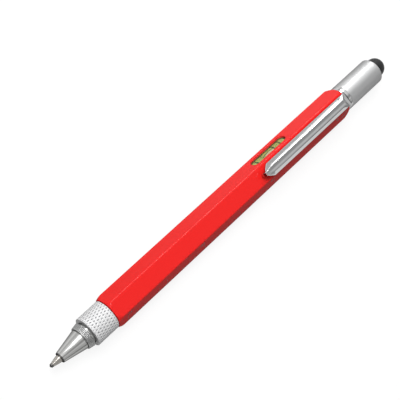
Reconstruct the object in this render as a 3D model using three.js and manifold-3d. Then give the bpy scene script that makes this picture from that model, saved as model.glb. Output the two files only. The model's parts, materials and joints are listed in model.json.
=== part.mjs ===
// A pen with several tools: a hexagonal barrel with ruled faces and a spirit level, a ballpoint that a
// twist of the nose brings out, a pocket clip, a double-ended screwdriver bit in the tail and a stylus cap
// over the bit.
// Millimetres. The pen lies along X, ballpoint at the low end, clip up, resting on the barrel's bottom face.
// The origin is under the middle of the pen, in the plane that it rests on.
import * as THREE from "three";
import { mergeVertices } from "three/addons/utils/BufferGeometryUtils.js";
import Module from "manifold-3d";

const wasm = await Module();
wasm.setup();

// Clearances
const runningGap = 0.3; // between pieces that turn or slide past each other, and round pressed-in pieces
const slipGap = 0.15; // round the refill, and round the bit in its socket
const closeGap = 0.1; // round small plugs and pins
const faceGap = 0.05; // between flat faces that meet
const overrun = 1; // how far a cutter reaches past what it cuts

// Refill
const refillRadius = 1.175;
const refillLength = 67;
const ballRadius = 0.5;
const ballProud = 0.35;
const mouthWall = 0.12;
const tipConeLength = 2.7;
const tipShoulder = 9.4; // from the ball's end to the step that the tube butts against
const tipSpigotLength = 3;
const inkChannelRadius = 0.3;
const refillWall = 0.28;
const inkAir = 10; // empty tube behind the ink
const plugHeadLength = 2;
const plugSpigotLength = 3;

// Carrier and twist mechanism
const tipTravel = 4.5; // how far half a turn draws the refill back
const carrierLength = 10;
const carrierWall = 0.8;
const socketDepth = 5;
const lugWidth = 1;
const lugLength = 1;
const lugSetback = 2; // from the carrier's back end to the lug's near side
const tubeWall = 0.5;
const tubeOverrun = 1.5; // tube left behind the carrier when the tip is drawn back
const headStep = 0.4; // how far the nose's shank and the tube's head stand out past the tube
const clipGrooveDepth = 0.2;
const clipGrooveWidth = 0.8;
const tubeClipWidth = 0.6;
const tubeClipDepth = 0.65;
const guideWall = 0.5;
const guideFloor = 1.2;
const guideLead = 6.5; // guide sleeve in front of the carrier
const bushLength = 6;

// Nose
const tipProud = 3.7; // how far the writing tip stands out of the nose
const coneLength = 7.9;
const coneGrooveLength = 0.25;
const coneGrooveDepth = 0.2;
const collarLength = 2.75;
const collarTaper = 0.35;
const coneStep = 0.2;
const collarStep = 0.78;
const noseLip = 0.425;
const noseHoleLength = 4;
const noseBoreRoom = 0.825; // round the refill behind the front hole
const noseShankLength = 5;

// Knurled grip ring
const ringLength = 8;
const ringInset = 0.07; // below the barrel's flats
const ringLand = 0.2; // plain edge at each end
const ringChamfer = 0.1;
const knurlDepth = 0.2;
const knurlRows = 7;
const knurlTeeth = 34;

// Barrel
const barrelWall = 0.975; // at the middle of a flat
const barrelEdgeRadius = 0.6;
const frontTurnLength = 2.5;
const frontRise = 0.15; // from a flat up to the turned front end
const frontBow = 0.13;
const backTurnLength = 2.6;
const endDrop = 0.37; // from a flat down to the turned back end
const backBow = 0.07;
const turnClear = 0.05; // from an edge up to where its turned ends start

// Spirit level
const windowLength = 15.8;
const windowWidth = 3.4;
const windowTurn = 60; // degrees from the clip's face round to the level's face
const vialRadius = 2.5;
const vialLength = 17;
const vialWall = 0.5;
const vialEndRadius = 0.4;
const vialPlugLength = 1.6;
const padInset = 0.35; // from the barrel's flat down to the clear pad that stands in the window
const padWall = 0.2;
const holderEndWall = 1.5;
const levelRoom = 7.9; // free barrel between the guide sleeve and the level
const bubbleHalfLength = 2.4;
const bubbleHalfWidth = 1.1;
const bubbleDepth = 0.9;

// Bit, its holder and the cap's friction ring
const tailRoom = 8.5; // free barrel between the level and the bit holder
const socketFloor = 0.75;
const magnetLength = 1.6;
const bitFlats = 4;
const bitLength = 28;
const bitProud = 8.5; // out of the knob
const bitShoulder = 0.4; // full hexagon showing out of the knob
const bitFlareLength = 2.4;
const bitNeckRadius = 0.95;
const bladeLength = 4.3;
const bladeThickness = 0.5;
const bladeHalfWidth = 1;
const crossFlareLength = 2.2;
const crossNeckLength = 1.7;
const crossTipLength = 1.7;
const crossTipRadius = 0.3;
const crossSlotWidth = 0.5;
const bitTravel = 2; // free draw of the bit under the fitted cap
const knobLength = 4;
const knobChamfer = 0.3;
const flangeLength = 1.2;
const gripGap = 0.23; // between the knob and the cap's bore
const oRingRadius = 0.3;
const oRingGap = 0.08;
const oRingGrooveWidth = 0.8;

// Cap and stylus tip
const capWall = 0.7;
const capRim = 0.6; // round of the cap's far edge
const capMouthChamfer = 0.15;
const capRoom = 0.4; // between the drawn bit and the stylus post
const capEndThickness = 1.15;
const postFlangeLength = 0.6;
const postFlangeOverlap = 0.15;
const postPinRadius = 1.6;
const postPinLength = 3.5;
const domeRadius = 3.45;
const domeProud = 5.1;

// Pocket clip
const clipSheet = 0.6;
const clipRise = 3.6; // outer face above the barrel's flat
const clipLength = 45.2; // from the barrel's back end to the clip's tail
const clipHalfWidth = 2.35;
const clipWebHalfWidth = 1;
const clipShoulderHalfWidth = 1.65; // where the shoulder beside the web meets the steeper flank
const clipShoulderDrop = 0.38; // shoulder under the web
const clipFlankDrop = 1.2; // flank's outer edge under the web
const clipEndDrop = 0.12; // the same at the tail and at the ring, where the clip is nearly flat
const clipSideDepth = 1.9;
const clipHeadWebHalfWidth = 2; // web at the ring, where the head spreads
const clipTailHalfWidth = 0.6;
const clipTailTaper = 3.8;
const clipFootLength = 1.3; // web that curves down at the tail
const clipHeadRun = 3.9; // sloping head, along the pen
const clipFaceGap = 0.05;

// Sides of the turned pieces
const fineSides = 40;
const plainSides = 24;
const smallSides = 16;

// Radii, from the refill outwards
const carrierBore = refillRadius + slipGap;
const carrierRadius = carrierBore + carrierWall;
const tubeBore = carrierRadius + runningGap;
const tubeRadius = tubeBore + tubeWall;
const headRadius = tubeRadius + headStep;
const guideBore = tubeRadius + runningGap;
const guideRadius = guideBore + guideWall;
const barrelBore = guideRadius + runningGap;
const barrelFlat = barrelBore + barrelWall;
const barrelCorner = (barrelFlat - barrelEdgeRadius) / Math.cos(Math.PI / 6) + barrelEdgeRadius;
const ringRadius = barrelFlat - ringInset;
const ringBore = headRadius + runningGap;
const collarBackRadius = ringRadius - collarStep;
const collarFrontRadius = collarBackRadius - collarTaper;
const coneBackRadius = collarFrontRadius - coneStep;
const noseHole = refillRadius + slipGap;
const noseBore = refillRadius + noseBoreRoom;
const endRadius = barrelFlat - endDrop;
const holderRadius = barrelBore - runningGap;
const capBore = endRadius - capWall;
const knobRadius = capBore - gripGap;
const oRingMiddle = capBore - oRingGap - oRingRadius;
const oRingSeat = oRingMiddle - oRingRadius - faceGap;
const domeHole = domeRadius + closeGap;
const socketFlats = bitFlats + 2 * slipGap;
const vialOffset = holderRadius - vialRadius;
const vialBore = vialRadius - vialWall;
const padLength = windowLength - 2 * closeGap;
const padWidth = windowWidth - 2 * closeGap;
const padTop = barrelFlat - padInset - vialOffset;
const clipTop = barrelFlat + clipRise;

// Places along the pen, from the ball's end
const inkFront = tipShoulder + tipSpigotLength + closeGap;
const inkBack = refillLength - plugHeadLength - plugSpigotLength - inkAir;
const ringFront = tipProud + coneLength + coneGrooveLength + collarLength;
const ringBack = ringFront + ringLength;
const barrelFront = ringBack + runningGap;
const tubeFront = ringFront + noseShankLength + faceGap;
const tubeClipFront = barrelFront + bushLength + runningGap;
const carrierFront = refillLength - socketDepth;
const carrierBack = carrierFront + carrierLength;
const lugMiddle = carrierBack - lugSetback - lugLength / 2;
const tubeBack = carrierBack + tipTravel + tubeOverrun;
const guideFront = carrierFront - guideLead;
const guideBack = tubeBack + runningGap + guideFloor;
const holderFront = guideBack + levelRoom;
const holderLength = vialLength + 2 * (runningGap + holderEndWall);
const levelMiddle = holderFront + holderLength / 2;
const shankFront = holderFront + holderLength + tailRoom;
const magnetFront = shankFront + socketFloor + faceGap;
const bitFront = magnetFront + magnetLength + runningGap;
const bitBack = bitFront + bitLength;
const knobBack = bitBack - bitProud;
const flangeBack = knobBack - knobLength;
const flangeFront = flangeBack - flangeLength;
const clipRingFront = flangeFront - faceGap - clipSheet;
const barrelBack = clipRingFront - faceGap;
const barrelLength = barrelBack - barrelFront;
const capFront = flangeBack + faceGap;
const postFront = bitBack + bitTravel + capRoom;
const domeFront = postFront + postFlangeLength + faceGap;
const capBack = domeFront + capEndThickness;
const penLength = capBack + domeProud;

// The closed surface of a geometry as a solid that can be cut and joined.
function solidOf(geometry) {
  const surface = new THREE.BufferGeometry();
  surface.setAttribute("position", geometry.getAttribute("position"));
  if (geometry.index) surface.setIndex(geometry.index);
  const merged = mergeVertices(surface);
  return new wasm.Manifold(
    new wasm.Mesh({
      numProp: 3,
      vertProperties: new Float32Array(merged.getAttribute("position").array),
      triVerts: new Uint32Array(merged.index.array),
    }),
  );
}

// The geometry of a solid, with flat shading.
function geometryOf(solid) {
  const { vertProperties, triVerts, numProp } = solid.getMesh();
  const places = new Float32Array((vertProperties.length / numProp) * 3);
  for (let i = 0; i < places.length / 3; i++) {
    places.set(vertProperties.subarray(i * numProp, i * numProp + 3), i * 3);
  }
  const shared = new THREE.BufferGeometry();
  shared.setAttribute("position", new THREE.BufferAttribute(places, 3));
  shared.setIndex(new THREE.BufferAttribute(new Uint32Array(triVerts), 1));
  const geometry = shared.toNonIndexed();
  geometry.computeVertexNormals();
  return geometry;
}

// A piece turned about X. The outline is a list of [x, radius]: along the outside from front to back, then
// home along the bore. A piece with no bore starts and ends on the axis.
function turned(outline, sides = plainSides) {
  const points = outline.map(([x, radius]) => new THREE.Vector2(radius, x));
  return new THREE.LatheGeometry(points, sides).rotateZ(-Math.PI / 2);
}

// A plain tube from x = 0, as an outline for turned().
function tubeOutline(length, radius, bore) {
  return [[0, bore], [0, radius], [length, radius], [length, bore], [0, bore]];
}

// A plain rod from front to back, as an outline for turned().
function rodOutline(front, back, radius) {
  return [[front, 0], [front, radius], [back, radius], [back, 0]];
}

// Points [x, radius] on a quarter round that leaves its first point straight outwards and reaches its last
// point along the axis.
function roundOutline([x0, r0], [x1, r1], steps) {
  const points = [];
  for (let i = 0; i <= steps; i++) {
    const turn = ((i / steps) * Math.PI) / 2;
    points.push([x0 + (x1 - x0) * (1 - Math.cos(turn)), r0 + (r1 - r0) * Math.sin(turn)]);
  }
  return points;
}

// Points [x, radius] on a shallow bow between two points.
function bowedOutline([x0, r0], [x1, r1], bow, steps) {
  const points = [];
  for (let i = 0; i <= steps; i++) {
    const share = i / steps;
    points.push([x0 + (x1 - x0) * share, r0 + (r1 - r0) * share + 4 * bow * share * (1 - share)]);
  }
  return points;
}

// A regular hexagonal bar along X from x = 0, flats up and down, with rounded or sharp edges.
function hexBar(length, flat, edgeRadius) {
  const outline = new THREE.Shape();
  const middle = (flat - edgeRadius) / Math.cos(Math.PI / 6);
  for (let i = 0; i < 6; i++) {
    const corner = Math.PI / 6 + (i * Math.PI) / 3;
    const x = middle * Math.cos(corner);
    const y = middle * Math.sin(corner);
    if (edgeRadius > 0) outline.absarc(x, y, edgeRadius, corner - Math.PI / 6, corner + Math.PI / 6, false);
    else if (i === 0) outline.moveTo(x, y);
    else outline.lineTo(x, y);
  }
  const bar = new THREE.ExtrudeGeometry(outline, { depth: length, bevelEnabled: false, curveSegments: 4 });
  return bar.rotateY(Math.PI / 2);
}

// A slot cutter with round ends, standing on the XY plane and reaching up.
function slotCutter(length, width, height) {
  const outline = new THREE.Shape();
  const reach = (length - width) / 2;
  outline.absarc(reach, 0, width / 2, -Math.PI / 2, Math.PI / 2, false);
  outline.absarc(-reach, 0, width / 2, Math.PI / 2, (3 * Math.PI) / 2, false);
  return new THREE.ExtrudeGeometry(outline, { depth: height, bevelEnabled: false, curveSegments: 10 });
}

// A closed skin over rings of points, each ring with the same count, in order along the piece.
// The end faces are filled from the flat shape of a ring, which is given in its own two directions.
function skinned(rings, endShape) {
  const places = [];
  const faces = [];
  const count = rings[0].length;
  rings.forEach((ring) => ring.forEach((point) => places.push(...point)));
  for (let i = 0; i + 1 < rings.length; i++) {
    for (let j = 0; j < count; j++) {
      const a = i * count + j;
      const b = i * count + ((j + 1) % count);
      faces.push(a, b, a + count, b, b + count, a + count);
    }
  }
  const last = (rings.length - 1) * count;
  THREE.ShapeUtils.triangulateShape(endShape, []).forEach(([a, b, c]) => {
    faces.push(a, c, b, last + a, last + b, last + c);
  });
  const geometry = new THREE.BufferGeometry();
  geometry.setAttribute("position", new THREE.Float32BufferAttribute(places, 3));
  geometry.setIndex(faces);
  return geometry;
}

function hexBarrel() {
  const body = solidOf(hexBar(barrelLength, barrelFlat, barrelEdgeRadius));
  const clear = barrelCorner + turnClear;
  const frontRound = bowedOutline([0, barrelFlat + frontRise], [frontTurnLength, clear], frontBow, 4);
  const backStart = [barrelLength - backTurnLength, clear];
  const backRound = bowedOutline(backStart, [barrelLength, endRadius], backBow, 4);
  const envelope = solidOf(
    turned([[0, 0], ...frontRound, ...backRound, [barrelLength, 0]], fineSides),
  );
  const bore = solidOf(turned(rodOutline(-overrun, barrelLength + overrun, barrelBore), fineSides));
  const slot = slotCutter(windowLength, windowWidth, barrelCorner);
  slot.translate(levelMiddle - barrelFront, 0, 0);
  slot.rotateX(THREE.MathUtils.degToRad(-windowTurn));
  return geometryOf(body.intersect(envelope).subtract(bore).subtract(solidOf(slot)));
}

function noseCone() {
  const grooveFront = coneLength;
  const grooveBack = grooveFront + coneGrooveLength;
  const shoulder = grooveBack + collarLength;
  const end = shoulder + noseShankLength;
  const boreFront = noseHoleLength + noseBoreRoom;
  return turned([
    [0, noseHole],
    [0, noseHole + noseLip],
    [grooveFront, coneBackRadius],
    [grooveFront, coneBackRadius - coneGrooveDepth],
    [grooveBack, coneBackRadius - coneGrooveDepth],
    [grooveBack, collarFrontRadius],
    [shoulder, collarBackRadius],
    [shoulder, headRadius],
    [end, headRadius],
    [end, noseBore],
    [boreFront, noseBore],
    [noseHoleLength, noseHole],
    [0, noseHole],
  ], fineSides);
}

// The grip ring: rows of points stand alternately high and low, which makes crossed rows of small diamonds.
function knurledRing() {
  const rowStep = (ringLength - 2 * ringLand) / knurlRows;
  const rows = [];
  for (let row = 0; row <= knurlRows; row++) rows.push([ringLand + row * rowStep, ringRadius]);
  const outline = [
    [0, ringBore],
    [0, ringRadius - ringChamfer],
    [ringChamfer, ringRadius],
    ...rows,
    [ringLength - ringChamfer, ringRadius],
    [ringLength, ringRadius - ringChamfer],
    [ringLength, ringBore],
    [0, ringBore],
  ];
  const firstRow = 3;
  const sides = 2 * knurlTeeth;
  const ring = turned(outline, sides);
  const places = ring.getAttribute("position");
  for (let side = 0; side <= sides; side++) {
    for (let row = 0; row <= knurlRows; row++) {
      if ((side + row) % 2 === 0) continue;
      const index = side * outline.length + firstRow + row;
      const share = (ringRadius - knurlDepth) / ringRadius;
      places.setXYZ(index, places.getX(index), places.getY(index) * share, places.getZ(index) * share);
    }
  }
  return ring;
}

// The slot that the twist tube's turn drags the lug along: a bar wound on the tube, as long in turn as half
// a turn and the lug's own width, for the tube standing as it does with the tip out.
function helixCutter() {
  const slopePerTurn = tipTravel / Math.PI;
  const sideAngle = (lugWidth / 2 + runningGap) / tubeBore;
  const halfLength = lugLength / 2 + runningGap + (slopePerTurn * lugWidth) / 2 / tubeBore;
  const inner = tubeBore - runningGap;
  const outer = tubeRadius + runningGap;
  const steps = 24;
  const rings = [];
  for (let i = 0; i <= steps; i++) {
    const turn = -sideAngle + ((Math.PI + 2 * sideAngle) * i) / steps;
    const angle = -Math.PI / 2 - turn;
    const middle = lugMiddle - tubeFront + slopePerTurn * turn;
    rings.push(
      [[inner, -halfLength], [outer, -halfLength], [outer, halfLength], [inner, halfLength]].map(
        ([radius, x]) => [middle + x, radius * Math.cos(angle), radius * Math.sin(angle)],
      ),
    );
  }
  const section = [
    new THREE.Vector2(inner, -halfLength),
    new THREE.Vector2(outer, -halfLength),
    new THREE.Vector2(outer, halfLength),
    new THREE.Vector2(inner, halfLength),
  ];
  return skinned(rings, section);
}

function twistTube() {
  const length = tubeBack - tubeFront;
  const headBack = ringBack - tubeFront;
  const grooveFront = tubeClipFront - (clipGrooveWidth - tubeClipWidth) / 2 - tubeFront;
  const grooveBack = grooveFront + clipGrooveWidth;
  const tube = turned([
    [0, tubeBore],
    [0, headRadius],
    [headBack, headRadius],
    [headBack, tubeRadius],
    [grooveFront, tubeRadius],
    [grooveFront, tubeRadius - clipGrooveDepth],
    [grooveBack, tubeRadius - clipGrooveDepth],
    [grooveBack, tubeRadius],
    [length, tubeRadius],
    [length, tubeBore],
    [0, tubeBore],
  ]);
  return geometryOf(solidOf(tube).subtract(solidOf(helixCutter())));
}

function tubeClip() {
  const bore = tubeRadius - clipGrooveDepth + closeGap;
  return turned(tubeOutline(tubeClipWidth, bore + tubeClipDepth, bore), plainSides);
}

function noseBush() {
  return turned(tubeOutline(bushLength, guideRadius, guideBore), plainSides);
}

// The fixed sleeve round the twist tube, closed behind it, with a straight slot that keeps the lug from
// turning.
function guideSleeve() {
  const length = guideBack - guideFront;
  const floorFront = length - guideFloor;
  const sleeve = solidOf(turned([
    [floorFront, 0],
    [floorFront, guideBore],
    [0, guideBore],
    [0, guideRadius],
    [length, guideRadius],
    [length, 0],
  ]));
  const slotLength = lugLength + tipTravel + 2 * runningGap;
  const slot = new THREE.BoxGeometry(slotLength, lugWidth + 2 * runningGap, guideRadius);
  slot.translate(lugMiddle + tipTravel / 2 - guideFront, 0, -guideRadius);
  return geometryOf(sleeve.subtract(solidOf(slot)));
}

function refillCarrier() {
  const socketEnd = socketDepth + slipGap;
  const body = solidOf(turned([
    [socketEnd, 0],
    [socketEnd, carrierBore],
    [0, carrierBore],
    [0, carrierRadius],
    [carrierLength, carrierRadius],
    [carrierLength, 0],
  ]));
  const lugTop = guideRadius - closeGap * 2;
  const lug = new THREE.BoxGeometry(lugLength, lugWidth, lugTop);
  lug.translate(lugMiddle - carrierFront, 0, -lugTop / 2);
  const keep = solidOf(turned(rodOutline(socketEnd + closeGap, carrierLength, lugTop)));
  return geometryOf(body.add(solidOf(lug).intersect(keep)));
}

function writingBall() {
  const front = roundOutline([0, 0], [ballRadius, ballRadius], 5).slice(1, 5);
  return turned([[0, 0], ...front, ...ballBack()], smallSides);
}

function ballBack() {
  const points = [];
  const steps = 5;
  for (let i = 0; i <= steps; i++) {
    const turn = ((i / steps) * Math.PI) / 2;
    points.push([ballRadius + ballRadius * Math.sin(turn), ballRadius * Math.cos(turn)]);
  }
  points[steps][1] = 0;
  return points;
}

function refillTip() {
  const mouth = ballProud;
  const cupRadius = ballRadius + slipGap / 2;
  const cupEnd = 2 * ballRadius + closeGap;
  const spigotRadius = refillRadius - refillWall - closeGap;
  const end = tipShoulder + tipSpigotLength;
  return turned([
    [mouth, cupRadius],
    [mouth, cupRadius + mouthWall],
    [mouth + tipConeLength, refillRadius],
    [tipShoulder, refillRadius],
    [tipShoulder, spigotRadius],
    [end, spigotRadius],
    [end, inkChannelRadius],
    [cupEnd, inkChannelRadius],
    [cupEnd, cupRadius],
    [mouth, cupRadius],
  ], smallSides);
}

function refillTube() {
  const length = refillLength - plugHeadLength - faceGap - (tipShoulder + faceGap);
  return turned(tubeOutline(length, refillRadius, refillRadius - refillWall), smallSides);
}

function refillInk() {
  return turned(rodOutline(inkFront, inkBack, refillRadius - refillWall - 2 * closeGap), smallSides);
}

function refillPlug() {
  const spigotRadius = refillRadius - refillWall - closeGap;
  return turned([
    [0, 0],
    [0, spigotRadius],
    [plugSpigotLength, spigotRadius],
    [plugSpigotLength, refillRadius],
    [plugSpigotLength + plugHeadLength, refillRadius],
    [plugSpigotLength + plugHeadLength, 0],
  ], smallSides);
}

// A raised pad in the vial's own frame, from the vial's axis up to a height.
function pad(length, width, height) {
  return solidOf(slotCutter(length, width, height));
}

// The cradle that fills the barrel's bore under the vial, in the level's own frame: its open side faces up.
function vialHolder() {
  const body = solidOf(turned(rodOutline(-holderLength / 2, holderLength / 2, holderRadius)));
  const half = holderLength / 2 - holderEndWall;
  const trough = turned(rodOutline(-half, half, vialRadius + closeGap));
  trough.translate(0, 0, vialOffset);
  const opening = pad(windowLength, windowWidth, barrelCorner);
  return geometryOf(body.subtract(solidOf(trough)).subtract(opening));
}

// A closed tube with a long clear pad on top, which stands in the barrel's window.
function levelVial() {
  const half = vialLength / 2;
  const shoulder = roundOutline([-half, vialRadius - vialEndRadius], [-half + vialEndRadius, vialRadius], 3);
  const tube = solidOf(turned([[-half, 0], ...shoulder, [half, vialRadius], [half, 0]]));
  const bore = solidOf(turned(rodOutline(-half + vialWall, half + overrun, vialBore)));
  const hollow = pad(padLength - 2 * padWall, padWidth - 2 * padWall, padTop - padWall);
  return geometryOf(tube.add(pad(padLength, padWidth, padTop)).subtract(bore).subtract(hollow));
}

function vialPlug() {
  return turned(rodOutline(0, vialPlugLength, vialBore - closeGap), plainSides);
}

// The liquid that fills the vial and its pad, with the bubble's hollow at the top of its middle.
function levelFluid() {
  const front = -vialLength / 2 + vialWall + closeGap;
  const back = vialLength / 2 - vialPlugLength - closeGap;
  const side = padWall + closeGap;
  const top = padTop - side;
  const column = solidOf(turned(rodOutline(front, back, vialBore - closeGap)));
  const plugRoom = solidOf(turned(rodOutline(back, back + vialLength, vialBore)));
  const bubble = new THREE.SphereGeometry(1, 16, 10);
  bubble.scale(bubbleHalfLength, bubbleHalfWidth, bubbleDepth);
  bubble.translate(0, 0, top);
  const filled = column.add(pad(padLength - 2 * side, padWidth - 2 * side, top));
  return geometryOf(filled.subtract(plugRoom).subtract(solidOf(bubble)));
}

function clipRing() {
  return turned(tubeOutline(clipSheet, endRadius, holderRadius + closeGap), fineSides);
}

// One folded strip. The stations run from the foot that nearly touches the barrel, up round the tail, along
// the web, and down the sloping head to the clip ring.
function clipArm() {
  const tail = barrelBack - clipLength;
  const back = clipRingFront + clipSheet;
  const headFront = barrelBack - clipHeadRun;
  const headDrop = clipTop - endRadius;
  const kneeRunShare = 0.55;
  const kneeDropShare = 0.33;
  const downShare = 0.45;
  const turnShare = 0.12;
  const turnWidthShare = 1.1;
  const riseWidthShare = 1.6;
  const kneeFlankShare = 0.7;
  const endDepth = clipSheet + 2 * clipEndDrop;
  const headEnd = back - faceGap;
  const stations = [
    { x: tail + clipFaceGap, z: barrelFlat + runningGap, half: clipTailHalfWidth, drop: clipEndDrop },
    { x: tail, z: clipTop - clipRise * downShare, half: clipTailHalfWidth, drop: clipEndDrop },
    {
      x: tail + clipFootLength / 3,
      z: clipTop - clipRise * turnShare,
      half: clipTailHalfWidth * turnWidthShare,
      drop: clipEndDrop,
    },
    {
      x: tail + clipFootLength,
      z: clipTop,
      half: clipTailHalfWidth * riseWidthShare,
      drop: 2 * clipEndDrop,
    },
    { x: tail + clipTailTaper, z: clipTop, half: clipHalfWidth, drop: clipFlankDrop, depth: clipSideDepth },
    { x: headFront, z: clipTop, half: clipHalfWidth, drop: clipFlankDrop, depth: clipSideDepth },
    {
      x: headFront + (headEnd - headFront) * kneeRunShare,
      z: clipTop - headDrop * kneeDropShare,
      half: clipHalfWidth,
      drop: clipFlankDrop * kneeFlankShare,
    },
    {
      x: headEnd,
      z: endRadius + clipSheet,
      half: clipHalfWidth,
      web: clipHeadWebHalfWidth,
      drop: clipEndDrop,
    },
  ];
  const rings = stations.map((station, i) => {
    const before = stations[Math.max(i - 1, 0)];
    const after = stations[Math.min(i + 1, stations.length - 1)];
    const along = new THREE.Vector2(after.x - before.x, after.z - before.z).normalize();
    const inward = new THREE.Vector2(along.y, -along.x);
    return clipSection(station, endDepth).map(([across, depth]) => [
      station.x + inward.x * depth,
      -across,
      station.z + inward.y * depth,
    ]);
  });
  const endSection = clipSection(stations[0], endDepth);
  const endShape = endSection.map(([across, depth]) => new THREE.Vector2(across, depth));
  const arm = solidOf(skinned(rings, endShape));
  const footHeight = clipTop - endRadius;
  const root = new THREE.BoxGeometry(clipSheet, 2 * clipHalfWidth, footHeight / 2);
  root.translate(clipRingFront + clipSheet / 2, 0, endRadius + clipSheet - footHeight / 4);
  const roomOutline = rodOutline(barrelBack - overrun, back + overrun, endRadius + clipFaceGap);
  const ringRoom = solidOf(turned(roomOutline, fineSides));
  return geometryOf(arm.add(solidOf(root)).subtract(ringRoom));
}

// The clip's section at a station, as [across, depth under the outer face], round the folded sheet: the
// flat web, a shoulder, a steeper flank and a side wall on each hand.
function clipSection({ half, web: ownWeb, drop, depth }, plainDepth) {
  const webShare = 0.5;
  const innerWebShare = 0.45;
  const innerShoulderShare = 0.55;
  const innerDropShare = 0.8;
  const sheetShare = 0.6;
  const foldShare = 0.9;
  const sideShare = 1.1;
  const shoulderDropShare = clipShoulderDrop / clipFlankDrop;
  const shoulderShare = (clipShoulderHalfWidth - clipWebHalfWidth) / (clipHalfWidth - clipWebHalfWidth);
  const web = ownWeb || Math.min(clipWebHalfWidth, half * webShare);
  const shoulder = web + (half - web) * shoulderShare;
  const shoulderDrop = drop * shoulderDropShare;
  const side = depth || Math.max(plainDepth, drop + clipSheet * sideShare);
  const sheet = Math.min(clipSheet, half * sheetShare);
  const inner = half - sheet;
  const innerWeb = Math.min(web, inner * innerWebShare);
  const innerShoulder = innerWeb + (inner - innerWeb) * innerShoulderShare;
  const innerDrop = sheet + shoulderDrop * innerDropShare;
  return [
    [-half, side],
    [-half, drop],
    [-shoulder, shoulderDrop],
    [-web, 0],
    [web, 0],
    [shoulder, shoulderDrop],
    [half, drop],
    [half, side],
    [inner, side],
    [inner, drop + sheet * foldShare],
    [innerShoulder, innerDrop],
    [innerWeb, sheet],
    [-innerWeb, sheet],
    [-innerShoulder, innerDrop],
    [-inner, drop + sheet * foldShare],
    [-inner, side],
  ];
}

// Flange, knob and shank in one, with a hexagonal socket through to the magnet's floor.
function bitHolder() {
  const flange = flangeFront - shankFront;
  const flangeEnd = flangeBack - shankFront;
  const grooveEnd = flangeEnd + oRingGrooveWidth;
  const end = knobBack - shankFront;
  const body = solidOf(turned([
    [0, 0],
    [0, holderRadius],
    [flange, holderRadius],
    [flange, endRadius],
    [flangeEnd, endRadius],
    [flangeEnd, oRingSeat],
    [grooveEnd, oRingSeat],
    [grooveEnd, knobRadius],
    [end - knobChamfer, knobRadius],
    [end, knobRadius - knobChamfer],
    [end, 0],
  ], fineSides));
  const socket = hexBar(end - socketFloor + overrun, socketFlats / 2, 0);
  socket.translate(socketFloor, 0, 0);
  return geometryOf(body.subtract(solidOf(socket)));
}

function bitMagnet() {
  return turned(rodOutline(0, magnetLength, bitFlats / 2 - slipGap), smallSides);
}

// A friction ring in the knob's groove, which holds the cap on.
function capRing() {
  const points = [];
  const steps = 10;
  for (let i = 0; i <= steps; i++) {
    const turn = Math.PI - (2 * Math.PI * i) / steps;
    points.push([oRingRadius * Math.cos(turn), oRingMiddle + oRingRadius * Math.sin(turn)]);
  }
  points[steps] = points[0];
  return turned(points, plainSides);
}

// Hexagonal in the middle, with a flat blade that shows and a cross tip inside the holder.
function screwdriverBit() {
  const bladeStart = bitLength - bladeLength;
  const shoulder = bitLength - bitProud + bitShoulder;
  const hexCorner = bitFlats / 2 / Math.cos(Math.PI / 6) + closeGap;
  const crossNeckFront = crossTipLength;
  const crossNeckBack = crossNeckFront + crossNeckLength;
  const envelope = solidOf(turned([
    [0, 0],
    [0, crossTipRadius],
    [crossNeckFront, bitNeckRadius],
    [crossNeckBack, bitNeckRadius],
    [crossNeckBack + crossFlareLength, hexCorner],
    [shoulder, hexCorner],
    [shoulder + bitFlareLength, bitNeckRadius],
    [bladeStart, bitNeckRadius],
    [bitLength - closeGap, bladeHalfWidth],
    [bitLength, bladeHalfWidth - closeGap],
    [bitLength, 0],
  ]));
  const grindShare = 0.5;
  let bit = solidOf(hexBar(bitLength, bitFlats / 2, 0)).intersect(envelope);
  for (const side of [-1, 1]) {
    const ground = new THREE.Shape();
    ground.moveTo(bladeStart, side * bitNeckRadius);
    ground.quadraticCurveTo(
      bladeStart + bladeLength * grindShare,
      (side * bladeThickness) / 2,
      bitLength + overrun,
      (side * bladeThickness) / 2,
    );
    ground.lineTo(bitLength + overrun, side * (bitNeckRadius + overrun));
    ground.lineTo(bladeStart, side * (bitNeckRadius + overrun));
    const settings = { depth: 2 * bitFlats, bevelEnabled: false, curveSegments: 6 };
    const cut = new THREE.ExtrudeGeometry(ground, settings);
    cut.translate(0, 0, -bitFlats);
    bit = bit.subtract(solidOf(cut));
  }
  for (let i = 0; i < 4; i++) {
    const flute = new THREE.BoxGeometry(2 * crossTipLength, bitNeckRadius, bitNeckRadius);
    flute.translate(0, bitNeckRadius / 2 + crossSlotWidth / 2, bitNeckRadius / 2 + crossSlotWidth / 2);
    flute.rotateX((i * Math.PI) / 2);
    bit = bit.subtract(solidOf(flute));
  }
  return geometryOf(bit);
}

function capShell() {
  const end = capBack - capFront;
  const boreEnd = domeFront - faceGap - capFront;
  const rim = roundOutline([end, endRadius - capRim], [end - capRim, endRadius], 5).reverse();
  return turned([
    [0, capBore + capMouthChamfer],
    [0, endRadius - capMouthChamfer],
    [capMouthChamfer, endRadius],
    ...rim,
    [end, domeHole],
    [boreEnd, domeHole],
    [boreEnd, capBore],
    [capMouthChamfer, capBore],
    [0, capBore + capMouthChamfer],
  ], fineSides);
}

function stylusPost() {
  const flangeRadius = Math.min(domeHole + postFlangeOverlap, capBore - faceGap);
  return turned([
    [0, 0],
    [0, flangeRadius],
    [postFlangeLength - faceGap, flangeRadius],
    [postFlangeLength - faceGap, postPinRadius],
    [postFlangeLength + postPinLength, postPinRadius],
    [postFlangeLength + postPinLength, 0],
  ]);
}

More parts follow.
